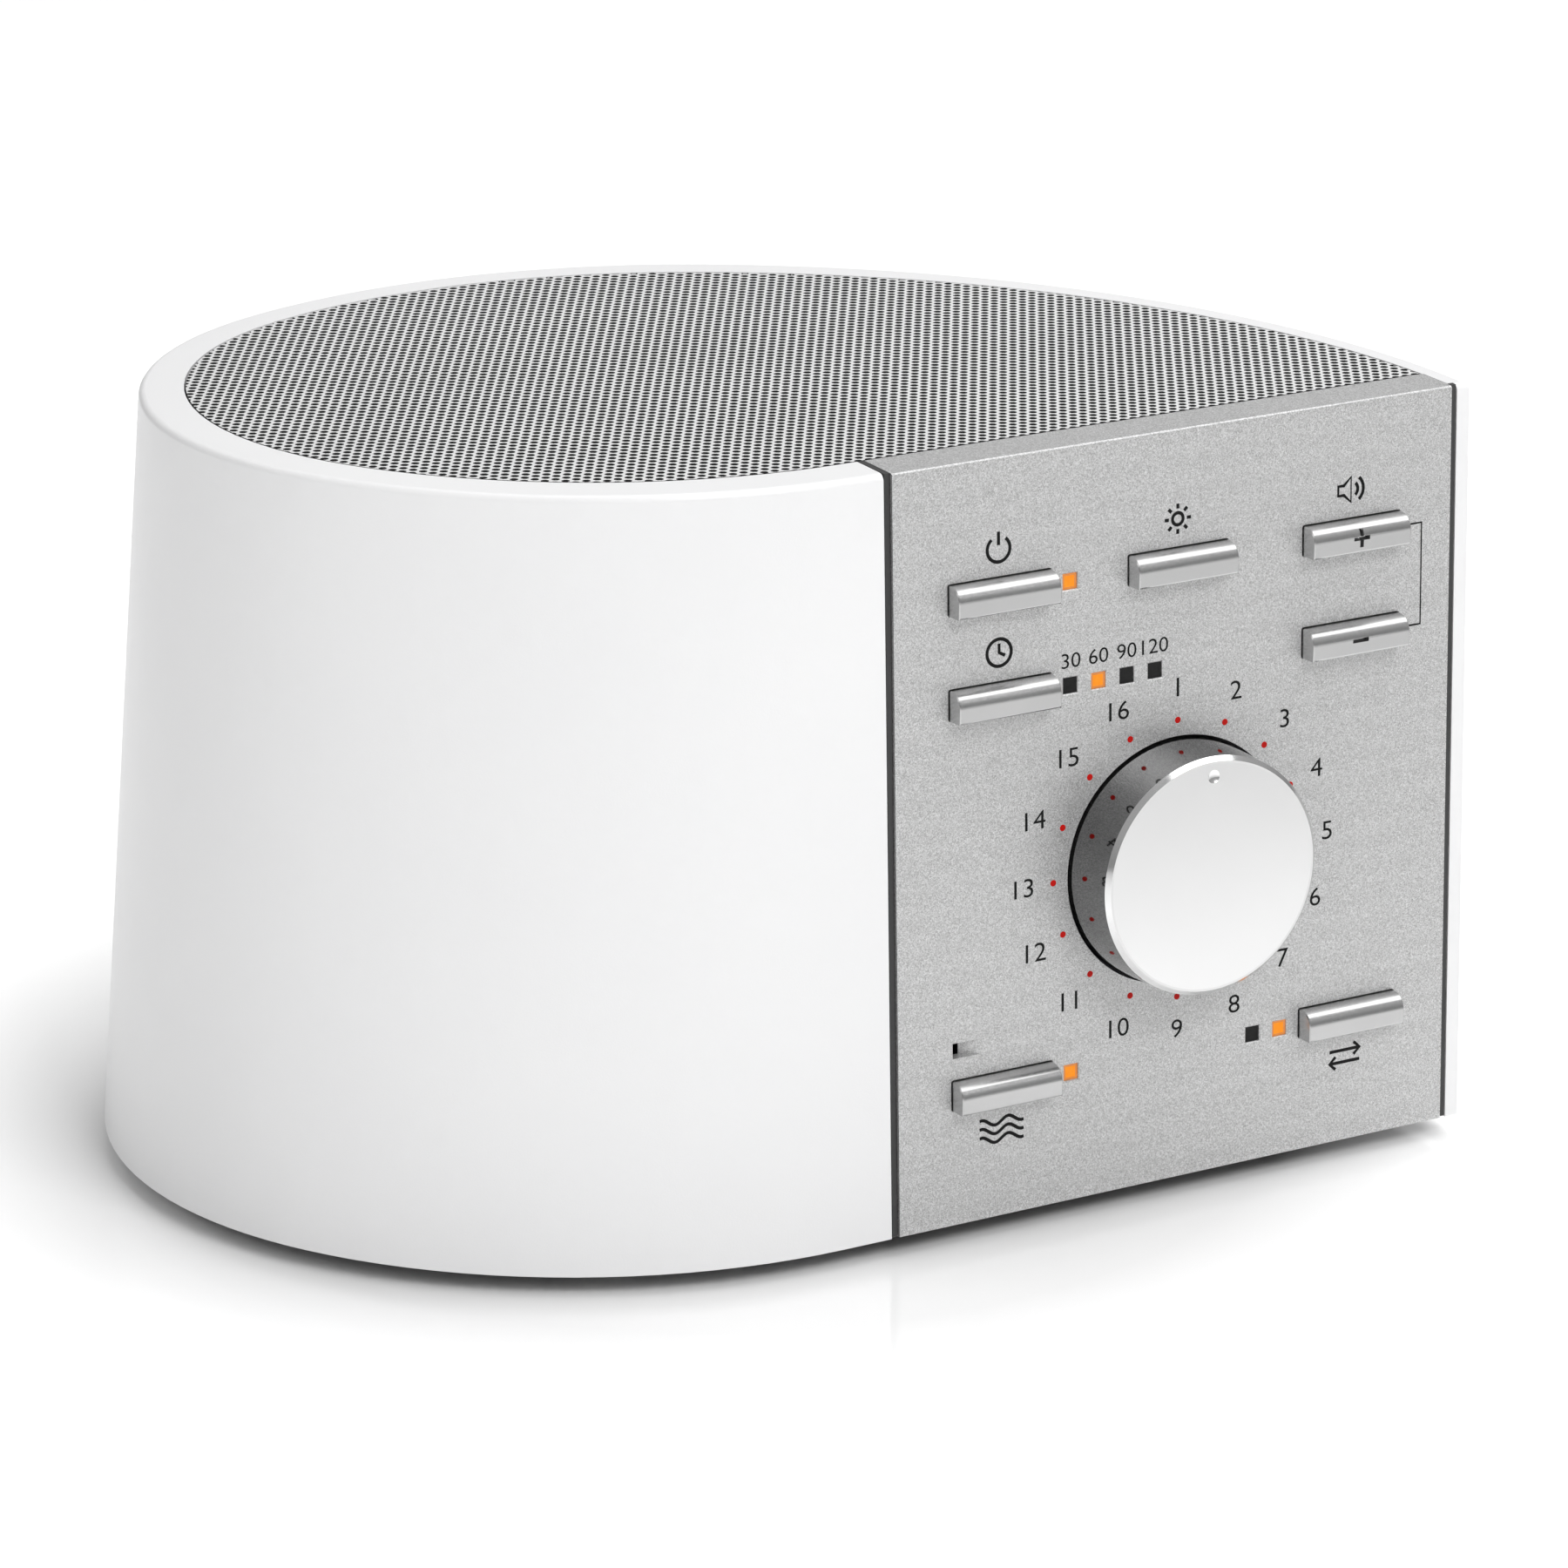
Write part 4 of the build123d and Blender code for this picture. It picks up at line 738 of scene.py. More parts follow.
@dataclass
class Shell:
    """The housing, its base, feet and rear tray.

    Attributes:
        housing_angle: the sharpest angle in degrees that stays smooth on the housing.
        small_angle: the same for the other pieces.
        pieces: each CAD node with its slot.
    """

    housing_angle: float = 32.0
    small_angle: float = 35.0
    pieces: tuple[tuple[str, Slot], ...] = (
        ("housing", Slot.BODY),
        ("panel_carrier", Slot.CARRIER),
        ("base_plate", Slot.BODY),
        ("rubber_feet", Slot.RUBBER),
        ("base_screws", Slot.STEEL),
        ("connector_tray", Slot.CARRIER),
        ("power_jack", Slot.BLACK),
        ("headphone_jack", Slot.BLACK),
    )

    def build(self, finishes: Finishes) -> None:
        """Dresses the pieces of the shell, and gives the underside of its base plate a dark grey, which is
        painted shade that deepens the shadow under the body.

        Args:
            finishes: all the finishes.
        """
        for node, slot in self.pieces:
            angle = self.housing_angle if node == "housing" else self.small_angle
            piece = fitted(skin(node, angle), "cabinet", slot, finishes)
            # Painted shade: the base plate's underside is dark grey, so the floor beneath the body gets
            # little light bounced from it and the shadow band stays dark.
            if node == "base_plate":
                refinish(piece, finishes.material(Slot.CARRIER), lambda face: face.normal.z < -ALONG)


# ------------------------------------------------------------------- grille


@dataclass(frozen=True)
class Outline:
    """A closed line of straight runs, seen from above.

    Attributes:
        start: the start of each run.
        run: the way from there to its end.
    """

    start: np.ndarray
    run: np.ndarray

    @classmethod
    def of(cls, rim: Piece) -> "Outline":
        """Reads the line from a piece of edges only.

        Args:
            rim: the piece.

        Returns:
            The line.
        """
        points = rim.data.vertices
        ends = np.array([[tuple(points[index].co.xy) for index in edge.vertices] for edge in rim.data.edges])
        return cls(ends[:, 0], ends[:, 1] - ends[:, 0])

    def locate(self, place: Point) -> tuple[bool, float]:
        """Finds where a place lies.

        Args:
            place: its X and Y.

        Returns:
            Whether it is inside the line, and how far it is from it.
        """
        x, y = place
        share = ((place - self.start) * self.run).sum(1) / (self.run ** 2).sum(1)
        nearest = self.start + self.run * np.clip(share, 0.0, 1.0)[:, None]
        crossing = (self.start[:, 1] > y) != ((self.start + self.run)[:, 1] > y)
        rise = np.where(crossing, self.run[:, 1], 1.0)
        where = self.start[:, 0] + (y - self.start[:, 1]) / rise * self.run[:, 0]
        inside = np.count_nonzero(crossing & (where > x)) % 2 == 1
        return inside, np.linalg.norm(nearest - place, axis=1).min()


@dataclass
class Grille:
    """The perforated sheet in the top.

    Attributes:
        node: the CAD node that it replaces.
        pitch: the distance between holes in a row.
        row: the distance between rows.
        hole: the radius of a hole.
        sides: how many sides a hole has.
        margin: the least solid border round the cells that stay whole.
        sheet: the thickness of the sheet.
        overlap: a hole is still cut where its centre lies outside by this share of its radius.
        weld: points nearer than this are one.
        level: how far a face of the sheet's top may lie off its height.
        flat: the least Z of such a face's normal.
        bend: runs of the outline that meet at a smaller angle in degrees become one.
        wall: faces whose normal's Z is smaller than this are walls of the holes and the rim, which are dark
            grey as painted shade in the holes.
        punch: the length of the punch, in thicknesses of the sheet.
    """

    node: str = "top_grille"
    pitch: float = 1.507 * MM
    row: float = 1.244 * MM
    hole: float = 0.55 * MM
    sides: int = 8
    margin: float = 0.15 * MM
    sheet: float = 0.5 * MM
    overlap: float = 0.7
    weld: float = 0.001 * MM
    level: float = 0.01 * MM
    flat: float = 0.99
    bend: float = 0.5
    wall: float = 0.5
    punch: float = 4.0

    def rim(self) -> Piece:
        """Takes the outline of the CAD sheet's top.

        Returns:
            A piece of edges only.
        """
        piece = twin(self.node, "grille_outline")
        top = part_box(self.node)[1].z
        pick_faces(piece, lambda face: face.normal.z < self.flat or abs(face.center.z - top) > self.level)
        bpy.ops.mesh.delete(type="FACE")
        bpy.ops.mesh.select_all(action="SELECT")
        bpy.ops.mesh.dissolve_limited(angle_limit=math.radians(self.bend), use_dissolve_boundaries=False)
        bpy.ops.mesh.select_all(action="SELECT")
        bpy.ops.mesh.delete(type="ONLY_FACE")
        done()
        return piece

    def tile(self, centre: Place) -> Piece:
        """Models one cell of the sheet: a rectangle with a hole.

        Args:
            centre: the centre of the first cell.

        Returns:
            The tile.
        """
        only(frame["nodes"][self.node])
        bpy.ops.mesh.primitive_plane_add(size=1.0, location=centre)
        piece = added("grille_sheet")
        bpy.ops.object.mode_set(mode="EDIT")
        bpy.ops.transform.resize(value=(self.pitch, self.row, 1.0), center_override=centre)
        bpy.ops.mesh.subdivide(number_cuts=1)
        bpy.ops.mesh.delete(type="ONLY_FACE")
        bpy.ops.mesh.select_mode(type="VERT")
        bpy.ops.mesh.select_all(action="DESELECT")
        done()
        # The point that the cuts left in the middle makes room for the hole.
        for point in piece.data.vertices:
            point.select = point.co.xy.length < self.hole / 2
        bpy.ops.object.mode_set(mode="EDIT")
        bpy.ops.mesh.delete(type="VERT")
        bpy.ops.mesh.primitive_circle_add(vertices=self.sides, radius=self.hole, location=centre)
        bpy.ops.mesh.select_mode(type="EDGE")
        bpy.ops.mesh.select_all(action="SELECT")
        bpy.ops.mesh.bridge_edge_loops()
        face_outwards()
        done()
        bpy.ops.object.transform_apply(location=True, rotation=True, scale=True)
        return piece

    def spread(self, piece: Piece, columns: int, rows: int) -> None:
        """Repeats the tile over the top in staggered rows.

        Args:
            piece: the tile.
            columns: how many cells a row has.
            rows: how many rows there are, an even number.
        """
        steps = (
            (columns, (self.pitch, 0.0, 0.0)),
            (2, (self.pitch / 2, self.row, 0.0)),
            (rows // 2, (0.0, 2 * self.row, 0.0)),
        )
        for count, step in steps:
            apply(piece, "ARRAY", count=count, use_relative_offset=False, use_constant_offset=True,
                  constant_offset_displace=step, use_merge_vertices=True, merge_threshold=self.weld)
        weld(piece, self.weld)

    def cell(self, place: Vector, low: Vector) -> Point:
        """Finds the centre of the cell that a place is in.

        Args:
            place: the place.
            low: the centre of the first cell.

        Returns:
            The X and Y of the cell's centre.
        """
        line = round((place.y - low.y) / self.row)
        start = low.x + (self.pitch / 2 if line % 2 else 0.0)
        return start + round((place.x - start) / self.pitch) * self.pitch, low.y + line * self.row

    def build(self, finishes: Finishes) -> None:
        """Builds the perforated sheet in two halves and a border, and dresses it, with the walls of its
        holes and rim in dark grey as painted shade.

        Args:
            finishes: all the finishes.
        """
        rim = self.rim()
        outline = Outline.of(rim)
        low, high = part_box(self.node)
        sheet = self.tile((low.x, low.y, high.z))
        columns = math.ceil((high.x - low.x) / self.pitch) + 1
        self.spread(sheet, columns, 2 * math.ceil((high.y - low.y) / self.row / 2))
        clear = math.hypot(self.pitch, self.row) / 2 + self.margin
        away: dict[Point, bool] = {}

        def outside(face: Face) -> bool:
            """Tells whether a face's cell reaches the outline, and notes it for the cell.

            Args:
                face: the face.

            Returns:
                Whether it does.
            """
            key = self.cell(face.center, low)
            if key not in away:
                inside, gap = outline.locate(key)
                away[key] = not inside or gap < clear
            return away[key]

        pick_faces(sheet, outside)
        bpy.ops.mesh.delete(type="FACE")
        done()
        sheet = joined([sheet, rim], "grille_sheet")
        self.fill_border(sheet, low, away)
        border = self.split(sheet, "grille_border")
        middle = (low.x + high.x) / 2
        pick_faces(sheet, lambda face: self.cell(face.center, low)[0] > middle)
        right = self.split(sheet, "grille_right")
        sheet.name = "grille_left"
        pieces = (sheet, right, border)
        for piece in pieces:
            apply(piece, "SOLIDIFY", thickness=self.sheet, offset=-1.0)
        self.punch_border(border, [place for place, gone in away.items() if gone], outline, high.z)
        for piece in pieces:
            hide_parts(self.node)
            fitted(piece, "cabinet", Slot.GRILLE, finishes)
            # Painted shade: the walls of the holes and of the rim are dark grey, so the holes and the gap
            # round the sheet look dark.
            refinish(piece, finishes.material(Slot.CARRIER), lambda face: abs(face.normal.z) < self.wall)

    @staticmethod
    def split(piece: Piece, name: str) -> Piece:
        """Takes what is selected in edit mode off a piece.

        Args:
            piece: the piece.
            name: the name of what is taken off.

        Returns:
            What was taken off.
        """
        bpy.ops.mesh.separate(type="SELECTED")
        done()
        piece.select_set(False)
        part = bpy.context.selected_objects[0]
        part.name = name
        return part

    def fill_border(self, sheet: Piece, low: Vector, away: dict[Point, bool]) -> None:
        """Fills the sheet between its last whole cells and its outline.

        Args:
            sheet: the cells and the outline's edges. It is left in edit mode with the new faces selected.
            low: the centre of the first cell.
            away: for each cell's centre, whether the cell was cut away.
        """
        edit(sheet, "EDGE")
        bpy.ops.mesh.select_non_manifold(extend=False, use_wire=True, use_boundary=True,
                                         use_multi_face=False, use_non_contiguous=False, use_verts=False)
        done()
        points = sheet.data.vertices
        # The holes of the cells that stay are open, so the edges round them aren't filled.
        for edge in sheet.data.edges:
            if not edge.select:
                continue
            middle = (points[edge.vertices[0]].co + points[edge.vertices[1]].co) / 2
            centre = self.cell(middle, low)
            if math.dist(middle.xy, centre) < self.hole and not away.get(centre, True):
                edge.select = False
        for point in points:
            point.select = False
        for edge in sheet.data.edges:
            if edge.select:
                points[edge.vertices[0]].select = points[edge.vertices[1]].select = True
        bpy.ops.object.mode_set(mode="EDIT")
        bpy.ops.mesh.fill(use_beauty=True)
        bpy.ops.mesh.normals_make_consistent(inside=False)

    def punch_border(self, border: Piece, places: list[Point], outline: Outline, top: float) -> None:
        """Punches the holes of the border, whole ones and those that the outline cuts.

        Args:
            border: the solid border.
            places: the centres of the cells that aren't in the sheet.
            outline: the outline of the sheet.
            top: the height of the sheet's top.
        """
        bpy.ops.object.select_all(action="DESELECT")
        length = self.punch * self.sheet
        bpy.ops.mesh.primitive_cylinder_add(vertices=self.sides, radius=self.hole, depth=length)
        punch = added("punch")
        punches = []
        for place in places:
            inside, gap = outline.locate(place)
            if inside or gap < self.hole * self.overlap:
                punches.append(copied(punch, Matrix.Translation((*place, top - self.sheet / 2))))
        bpy.data.objects.remove(punch)
        carve(border, joined(punches, "punches"))


# -------------------------------------------------------------------- panel


@dataclass(frozen=True)
class PanelFrame:
    """The front plane of the control panel, with its own axes.

    Attributes:
        origin: the middle of its lower edge.
        lean: the angle in degrees by which it leans back.
    """

    origin: Vector = field(default_factory=lambda: Vector((37.3, -59.4056, 2.8)) * MM)
    lean: float = 1.8

    def matrix(self, u: float, v: float, out: float = 0.0) -> Matrix:
        """Gives the placing matrix of a flat piece on the panel.

        Args:
            u: millimetres to the right of the panel's middle.
            v: millimetres up from its lower edge.
            out: millimetres in front of its face.

        Returns:
            A matrix that takes local X to the right, Y up the panel and Z outwards.
        """
        tilt = Matrix.Rotation(math.radians(90.0 - self.lean), 4, "X")
        return Matrix.Translation(self.origin) @ tilt @ Matrix.Translation(Vector((u, v, out)) * MM)


@dataclass
class Panel:
    """The silver panel with its indicator windows and microphone slot.

    Attributes:
        frame: the plane of its face.
        angle: the sharpest angle in degrees that stays smooth.
        rim: the width of a window's rim in millimetres.
        dip: how deep a window's middle lies below its rim, in millimetres.
        facing: how near to the panel's normal a window's front points, as a cosine.
    """

    frame: PanelFrame
    angle: float = 30.0
    rim: float = 0.26
    dip: float = 0.06
    facing: float = 0.99

    def window(self, node: str) -> Piece:
        """Sinks the middle of each window a little.

        Args:
            node: the CAD node of the windows.

        Returns:
            The windows as one piece, with their rims selected.
        """
        piece = skin(node, self.angle)
        outwards = (self.frame.matrix(0, 0).to_3x3() @ Vector((0, 0, 1))).normalized()
        pick_faces(piece, lambda face: face.normal.dot(outwards) > self.facing)
        bpy.ops.mesh.inset(thickness=self.rim * MM, depth=-self.dip * MM)
        done()
        middle = {index for face in piece.data.polygons if face.select for index in face.vertices}
        for face in piece.data.polygons:
            face.select = not face.select and not middle.isdisjoint(face.vertices)
        return piece

    def build(self, finishes: Finishes) -> None:
        """Dresses the panel and its windows, the lit ones with a rim of its own.

        Args:
            finishes: all the finishes.
        """
        fitted(skin("control_panel", self.angle), "cabinet", Slot.PANEL, finishes)
        lit = fitted(self.window("lit_indicator_lenses"), "cabinet", Slot.LIT, finishes)
        refinish(lit, finishes.rim, lambda face: face.select)
        fitted(self.window("dark_indicator_lenses"), "cabinet", Slot.UNLIT, finishes)


# ----------------------------------------------------------------- controls


class Sign(Enum):
    """The signs on the volume buttons."""

    PLUS = "plus"
    MINUS = "minus"


@dataclass
class PushButton:
    """A plated push button, with or without a sign engraved in it.

    Attributes:
        panel: the plane that it stands in.
        name: the body it moves with.
        place: its middle on the panel in millimetres.
        sign: the sign engraved in its front.
        crown: how far its front stands proud of the panel, in millimetres.
        curve: the radius of its upper half in millimetres.
        setback: how far the front's lower edge lies behind the crown, per millimetre down.
        height: its height in millimetres.
        round: the radius of its lower edge in millimetres.
        round_steps: how many faces that radius has.
        near: how far the ends of the lower edge may lie off their line, in millimetres.
        sign_place: the sign's middle, from the button's, in millimetres.
        arm: half the length of the sign's arms in millimetres.
        arm_steps: how many straight lengths an arm has.
        groove: the width of the sign's grooves in millimetres.
        lip: the bevel along the grooves in millimetres.
        deep: the depth of the grooves in millimetres.
        proud: how far the engraver stands out of the front, in millimetres.
        black: the least and the greatest depth of the grooves' black faces in millimetres.
        angle: the sharpest angle in degrees that stays smooth.
    """

    panel: PanelFrame
    name: str
    place: Point
    sign: Sign | None = None
    crown: float = 2.8
    curve: float = 2.0
    setback: float = 0.05
    height: float = 4.0
    round: float = 0.3
    round_steps: int = 3
    near: float = 0.03
    sign_place: Point = (-0.2, -0.3)
    arm: float = 1.1
    arm_steps: int = 4
    groove: float = 0.3
    lip: float = 0.13
    deep: float = 0.4
    proud: float = 0.026
    # black: the least and the greatest depth of the grooves' black faces in millimetres, whose black is
    # painted shade.
    black: tuple[float, float] = (0.195, 0.6)
    angle: float = 35.0

    def front(self, v: float) -> float:
        """Tells how far the front lies behind the crown at a height above its middle, in millimetres."""
        return self.curve - math.sqrt(self.curve ** 2 - v ** 2) if v > 0 else -v * self.setback

    def ease(self, piece: Piece) -> None:
        """Rounds the lower edge of a button's front.

        Args:
            piece: the button.
        """
        flat = self.panel.matrix(*self.place, self.crown).inverted()
        corner = Vector((-self.height / 2, -self.front(-self.height / 2)))
        edit(piece, "EDGE")
        done()
        for edge in piece.data.edges:
            ends = [flat @ piece.data.vertices[index].co / MM for index in edge.vertices]
            edge.select = all((end.yz - corner).length < self.near for end in ends)
        bpy.ops.object.mode_set(mode="EDIT")
        bpy.ops.mesh.bevel(offset=self.round * MM, segments=self.round_steps, affect="EDGES")
        done()

    def engraver(self) -> Piece:
        """Models what the sign leaves empty: crossed bars that follow the front, narrower below a bevel.

        Returns:
            The piece.
        """
        width = (self.groove + 2 * self.lip) * MM
        bpy.ops.object.select_all(action="DESELECT")
        bpy.ops.mesh.primitive_cube_add(size=width, location=(0, 0, width / 2))
        piece = added("engraver")
        axes = 2 if self.sign is Sign.PLUS else 1
        pick_faces(piece, lambda face: max(abs(value) for value in face.normal[:axes]) > ALONG)
        reach = (self.arm - self.groove / 2) * MM
        for _ in range(self.arm_steps):
            bpy.ops.mesh.extrude_faces_move(TRANSFORM_OT_shrink_fatten={"value": reach / self.arm_steps})
        face_outwards()
        pick_faces(piece, lambda face: face.normal.z < -ALONG)
        bpy.ops.mesh.inset(thickness=self.lip * MM, depth=self.lip * MM)
        down = (0, 0, (self.lip - self.deep) * MM)
        bpy.ops.mesh.extrude_region_move(TRANSFORM_OT_translate={"value": down})
        face_outwards()
        done()
        piece.data.transform(Matrix.Translation(Vector(self.sign_place).to_3d() * MM))
        for point in piece.data.vertices:
            point.co.z -= self.front(point.co.y / MM) * MM
        piece.data.transform(self.panel.matrix(*self.place, self.crown + self.proud))
        return piece

    def engraved(self, spot: Vector) -> bool:
        """Tells whether a face lies deep in the sign's grooves.

        Args:
            spot: its middle, from the crown's, in millimetres.

        Returns:
            Whether it does.
        """
        off = max(abs(spot.x - self.sign_place[0]), abs(spot.y - self.sign_place[1]))
        depth = -spot.z - self.front(min(spot.y, self.curve))
        return off < self.arm + self.lip and self.black[0] < depth < self.black[1]

    def build(self, finishes: Finishes) -> None:
        """Rounds and dresses the button, and engraves its sign, with painted shade in black deep in its
        grooves.

        Args:
            finishes: all the finishes.
        """
        # The edge is rounded first, so that the new faces take part in the final shading.
        button = skin(f"{self.name}_button", self.angle, smooth)
        self.ease(button)
        if self.sign:
            carve(button, self.engraver())
        shaded(button, self.angle)
        fitted(button, self.name, Slot.BUTTON, finishes)
        # Painted shade: the faces deep in the grooves are black, so the sign reads dark.
        if self.sign:
            flat = self.panel.matrix(*self.place, self.crown).inverted()
            black = finishes.material(Slot.BLACK)
            refinish(button, black, lambda face: self.engraved(flat @ face.center / MM))


BUTTONS: tuple[tuple[str, Point, Sign | None], ...] = (
    ("power", (-26.75, 84.40), None),
    ("display", (0.0, 84.40), None),
    ("volume_up", (26.75, 84.40), Sign.PLUS),
    ("volume_down", (26.75, 70.60), Sign.MINUS),
    ("timer", (-26.75, 70.60), None),
    ("adaptive", (-26.75, 18.0), None),
    ("selection", (26.75, 18.0), None),
)


@dataclass
class Dial:
    """The large dial: a plated cup with a bright bevel and a satin disc.

    Attributes:
        panel: the plane that it stands in.
        bevel_start: where the bevel starts, in millimetres in front of the panel.
        angle: the sharpest angle in degrees that stays smooth.
    """

    panel: PanelFrame
    bevel_start: float = 7.9
    angle: float = 25.0

    def build(self, finishes: Finishes) -> None:
        """Dresses the cup, its bevel and the disc.

        Args:
            finishes: all the finishes.
        """
        cup = fitted(skin("dial_knob", self.angle), "dial", Slot.DIAL, finishes)
        flat = self.panel.matrix(0, 0).inverted()
        refinish(cup, finishes.bevel, lambda face: (flat @ face.center).z > self.bevel_start * MM)
        fitted(skin("dial_face", self.angle), "dial", Slot.DISC, finishes)


# ----------------------------------------------------------------- printing


def arc(x: float, y: float, radius: float, start: float, end: float) -> list[Point]:
    """Gives points along an arc.

    Args:
        x: the centre's X.
        y: the centre's Y.
        radius: the radius.
        start: the first angle in degrees.
        end: the last angle in degrees.

    Returns:
        The points.
    """
    count = max(ARC_LEAST, round(abs(end - start) / ARC_STEP))
    angles = [math.radians(start + (end - start) * k / count) for k in range(count + 1)]
    return [(x + radius * math.cos(a), y + radius * math.sin(a)) for a in angles]


class Symbol(Enum):
    """The plain symbols printed beside the buttons."""

    POWER = "power"
    BRIGHTNESS = "brightness"
    LOUDNESS = "loudness"
    CLOCK = "clock"
    WAVES = "waves"
    SWAP = "swap"

    def strokes(self) -> list[list[Point]]:
        """Draws the symbol.

        Returns:
            Its lines, in a box about one unit high round the origin.
        """
        return {
            Symbol.POWER: [arc(0, -0.05, 0.42, 128, 412), [(0, 0.08), (0, 0.52)]],
            Symbol.BRIGHTNESS: [arc(0, 0, 0.2, 0, 360)] + [
                [(0.34 * math.cos(a), 0.34 * math.sin(a)), (0.5 * math.cos(a), 0.5 * math.sin(a))]
                for a in (math.pi / 4 * k for k in range(8))
            ],
            Symbol.LOUDNESS: [
                [(-0.5, 0.16), (-0.28, 0.16), (0.0, 0.42), (0.0, -0.42), (-0.28, -0.16), (-0.5, -0.16),
                 (-0.5, 0.16)],
                arc(0.0, 0, 0.26, -50, 50), arc(0.0, 0, 0.48, -50, 50),
            ],
            Symbol.CLOCK: [arc(0, 0, 0.45, 0, 360), [(0, 0.3), (0, 0), (0.22, -0.12)]],
            Symbol.WAVES: [
                [(x / 12, level + 0.12 * math.sin(x / 12 * 2 * math.pi)) for x in range(-10, 11)]
                for level in (0.3, 0.0, -0.3)
            ],
            Symbol.SWAP: [
                [(-0.6, 0.2), (0.6, 0.2)], [(0.36, 0.42), (0.6, 0.2), (0.36, -0.02)],
                [(0.6, -0.22), (-0.6, -0.22)], [(-0.36, 0.0), (-0.6, -0.22), (-0.36, -0.44)],
            ],
        }[self]


@dataclass
class Printing:
    """The marks printed on the panel: numbers, symbols, dots and one bracket.

    Attributes:
        panel: the plane that carries them.
        film: the thickness of the ink in millimetres.
        stroke: the width of a symbol's lines in millimetres.
        symbol_height: the height of a symbol in millimetres.
        timer_height: the height of the timer's numbers in millimetres.
        dial_height: the height of the dial's numbers in millimetres.
        stretch: how much wider than usual the numbers are.
        weight: how much bolder than usual they are, in their own unit.
        type_steps: how many steps a curve of a number has.
        dial_centre: the dial's centre on the panel in millimetres.
        steps: how many dots and numbers stand round the dial.
        number_ring: the radius of the ring of numbers in millimetres.
        dot_ring: the radius of the ring of dots in millimetres.
        dot: the diameter of a dot in millimetres.
        dot_sides: how many sides a dot has.
        dome: how wide the slope round a dot's middle is, as a share of its radius.
        symbols: each symbol with its place on the panel in millimetres.
        minutes: each number of the timer with its place.
        bracket: the corners of the line that joins the two volume buttons.
        bracket_stroke: the width of that line in millimetres.
        line_steps: how finely the round edge of a line is stepped.
        closed: a line is closed where its ends are nearer than this, in millimetres.
    """

    panel: PanelFrame
    film: float = 0.02
    stroke: float = 0.46
    symbol_height: float = 4.0
    timer_height: float = 1.98
    dial_height: float = 2.5
    stretch: float = 1.1
    weight: float = -0.004
    type_steps: int = 4
    dial_centre: Point = (0.0, 44.30)
    steps: int = 16
    number_ring: float = 23.4
    dot_ring: float = 18.95
    dot: float = 0.87
    dot_sides: int = 20
    dome: float = 0.3
    symbols: tuple[tuple[Symbol, float, float], ...] = (
        (Symbol.POWER, -26.9, 90.3),
        (Symbol.BRIGHTNESS, -0.1, 90.2),
        (Symbol.LOUDNESS, 26.6, 90.3),
        (Symbol.CLOCK, -26.9, 76.5),
        (Symbol.WAVES, -26.9, 12.1),
        (Symbol.SWAP, 26.6, 12.1),
    )
    minutes: tuple[tuple[str, float, float], ...] = (
        ("30", -16.2, 73.8), ("60", -12.05, 73.8), ("90", -7.8, 73.8), ("120", -3.5, 73.8),
    )
    bracket: tuple[Point, ...] = ((35.0, 84.27), (37.8, 84.27), (37.8, 70.45), (35.0, 70.45))
    bracket_stroke: float = 0.3
    line_steps: int = 2
    closed: float = 0.000001

    def number(self, words: str, height: float, u: float, v: float) -> Piece:
        """Sets one number as thin solid type on the panel.

        Args:
            words: the number.
            height: its height in millimetres.
            u: its middle to the right, in millimetres.
            v: its middle upwards, in millimetres.

        Returns:
            The piece.
        """
        bpy.ops.object.text_add()
        piece = added("type_" + words)
        piece.data.body = words
        piece.data.extrude = self.film * MM / 2
        piece.data.offset = self.weight
        piece.data.resolution_u = self.type_steps
        bpy.ops.object.convert(target="MESH")
        piece = bpy.context.active_object
        flat = [point.co for point in piece.data.vertices]
        low = Vector((min(c.x for c in flat), min(c.y for c in flat), 0))
        high = Vector((max(c.x for c in flat), max(c.y for c in flat), 0))
        size = height * MM / (high.y - low.y)
        centred = Matrix.Translation(-(low + high) / 2)
        piece.data.transform(Matrix.Diagonal((size * self.stretch, size, 1.0, 1.0)) @ centred)
        piece.data.transform(self.panel.matrix(u, v, self.film / 2))
        return piece

    def line(self, points: Sequence[Point], width: float, name: str, matrix: Matrix) -> Piece:
        """Draws one line as a flat ribbon of ink.

        Args:
            points: its corners in millimetres. The first again at its end closes it.
            width: its width in millimetres.
            name: the piece's name.
            matrix: its place.

        Returns:
            The piece.
        """
        curve = bpy.data.curves.new(name, "CURVE")
        curve.dimensions = "3D"
        curve.bevel_depth = width * MM / 2
        curve.bevel_resolution = self.line_steps
        curve.use_fill_caps = True
        spline = curve.splines.new("POLY")
        spline.use_cyclic_u = math.dist(points[0], points[-1]) < self.closed
        path = points[:-1] if spline.use_cyclic_u else points
        spline.points.add(len(path) - 1)
        for point, (x, y) in zip(spline.points, path):
            point.co = (x * MM, y * MM, 0.0, 1.0)
        piece = bpy.data.objects.new(name, curve)
        bpy.context.scene.collection.objects.link(piece)
        only(piece)
        bpy.ops.object.convert(target="MESH")
        piece = bpy.context.active_object
        piece.data.transform(Matrix.Diagonal((1.0, 1.0, self.film / width, 1.0)))
        piece.data.transform(matrix)
        return piece

    def symbol(self, symbol: Symbol, u: float, v: float) -> Piece:
        """Draws a symbol from its lines.

        Args:
            symbol: the symbol.
            u: its middle to the right, in millimetres.
            v: its middle upwards, in millimetres.

        Returns:
            The piece.
        """
        name = f"symbol_{symbol.value}"
        place = self.panel.matrix(u, v, self.film / 2)
        size = self.symbol_height
        paths = [[(x * size, y * size) for x, y in path] for path in symbol.strokes()]
        return joined([self.line(path, self.stroke, name, place) for path in paths], name)

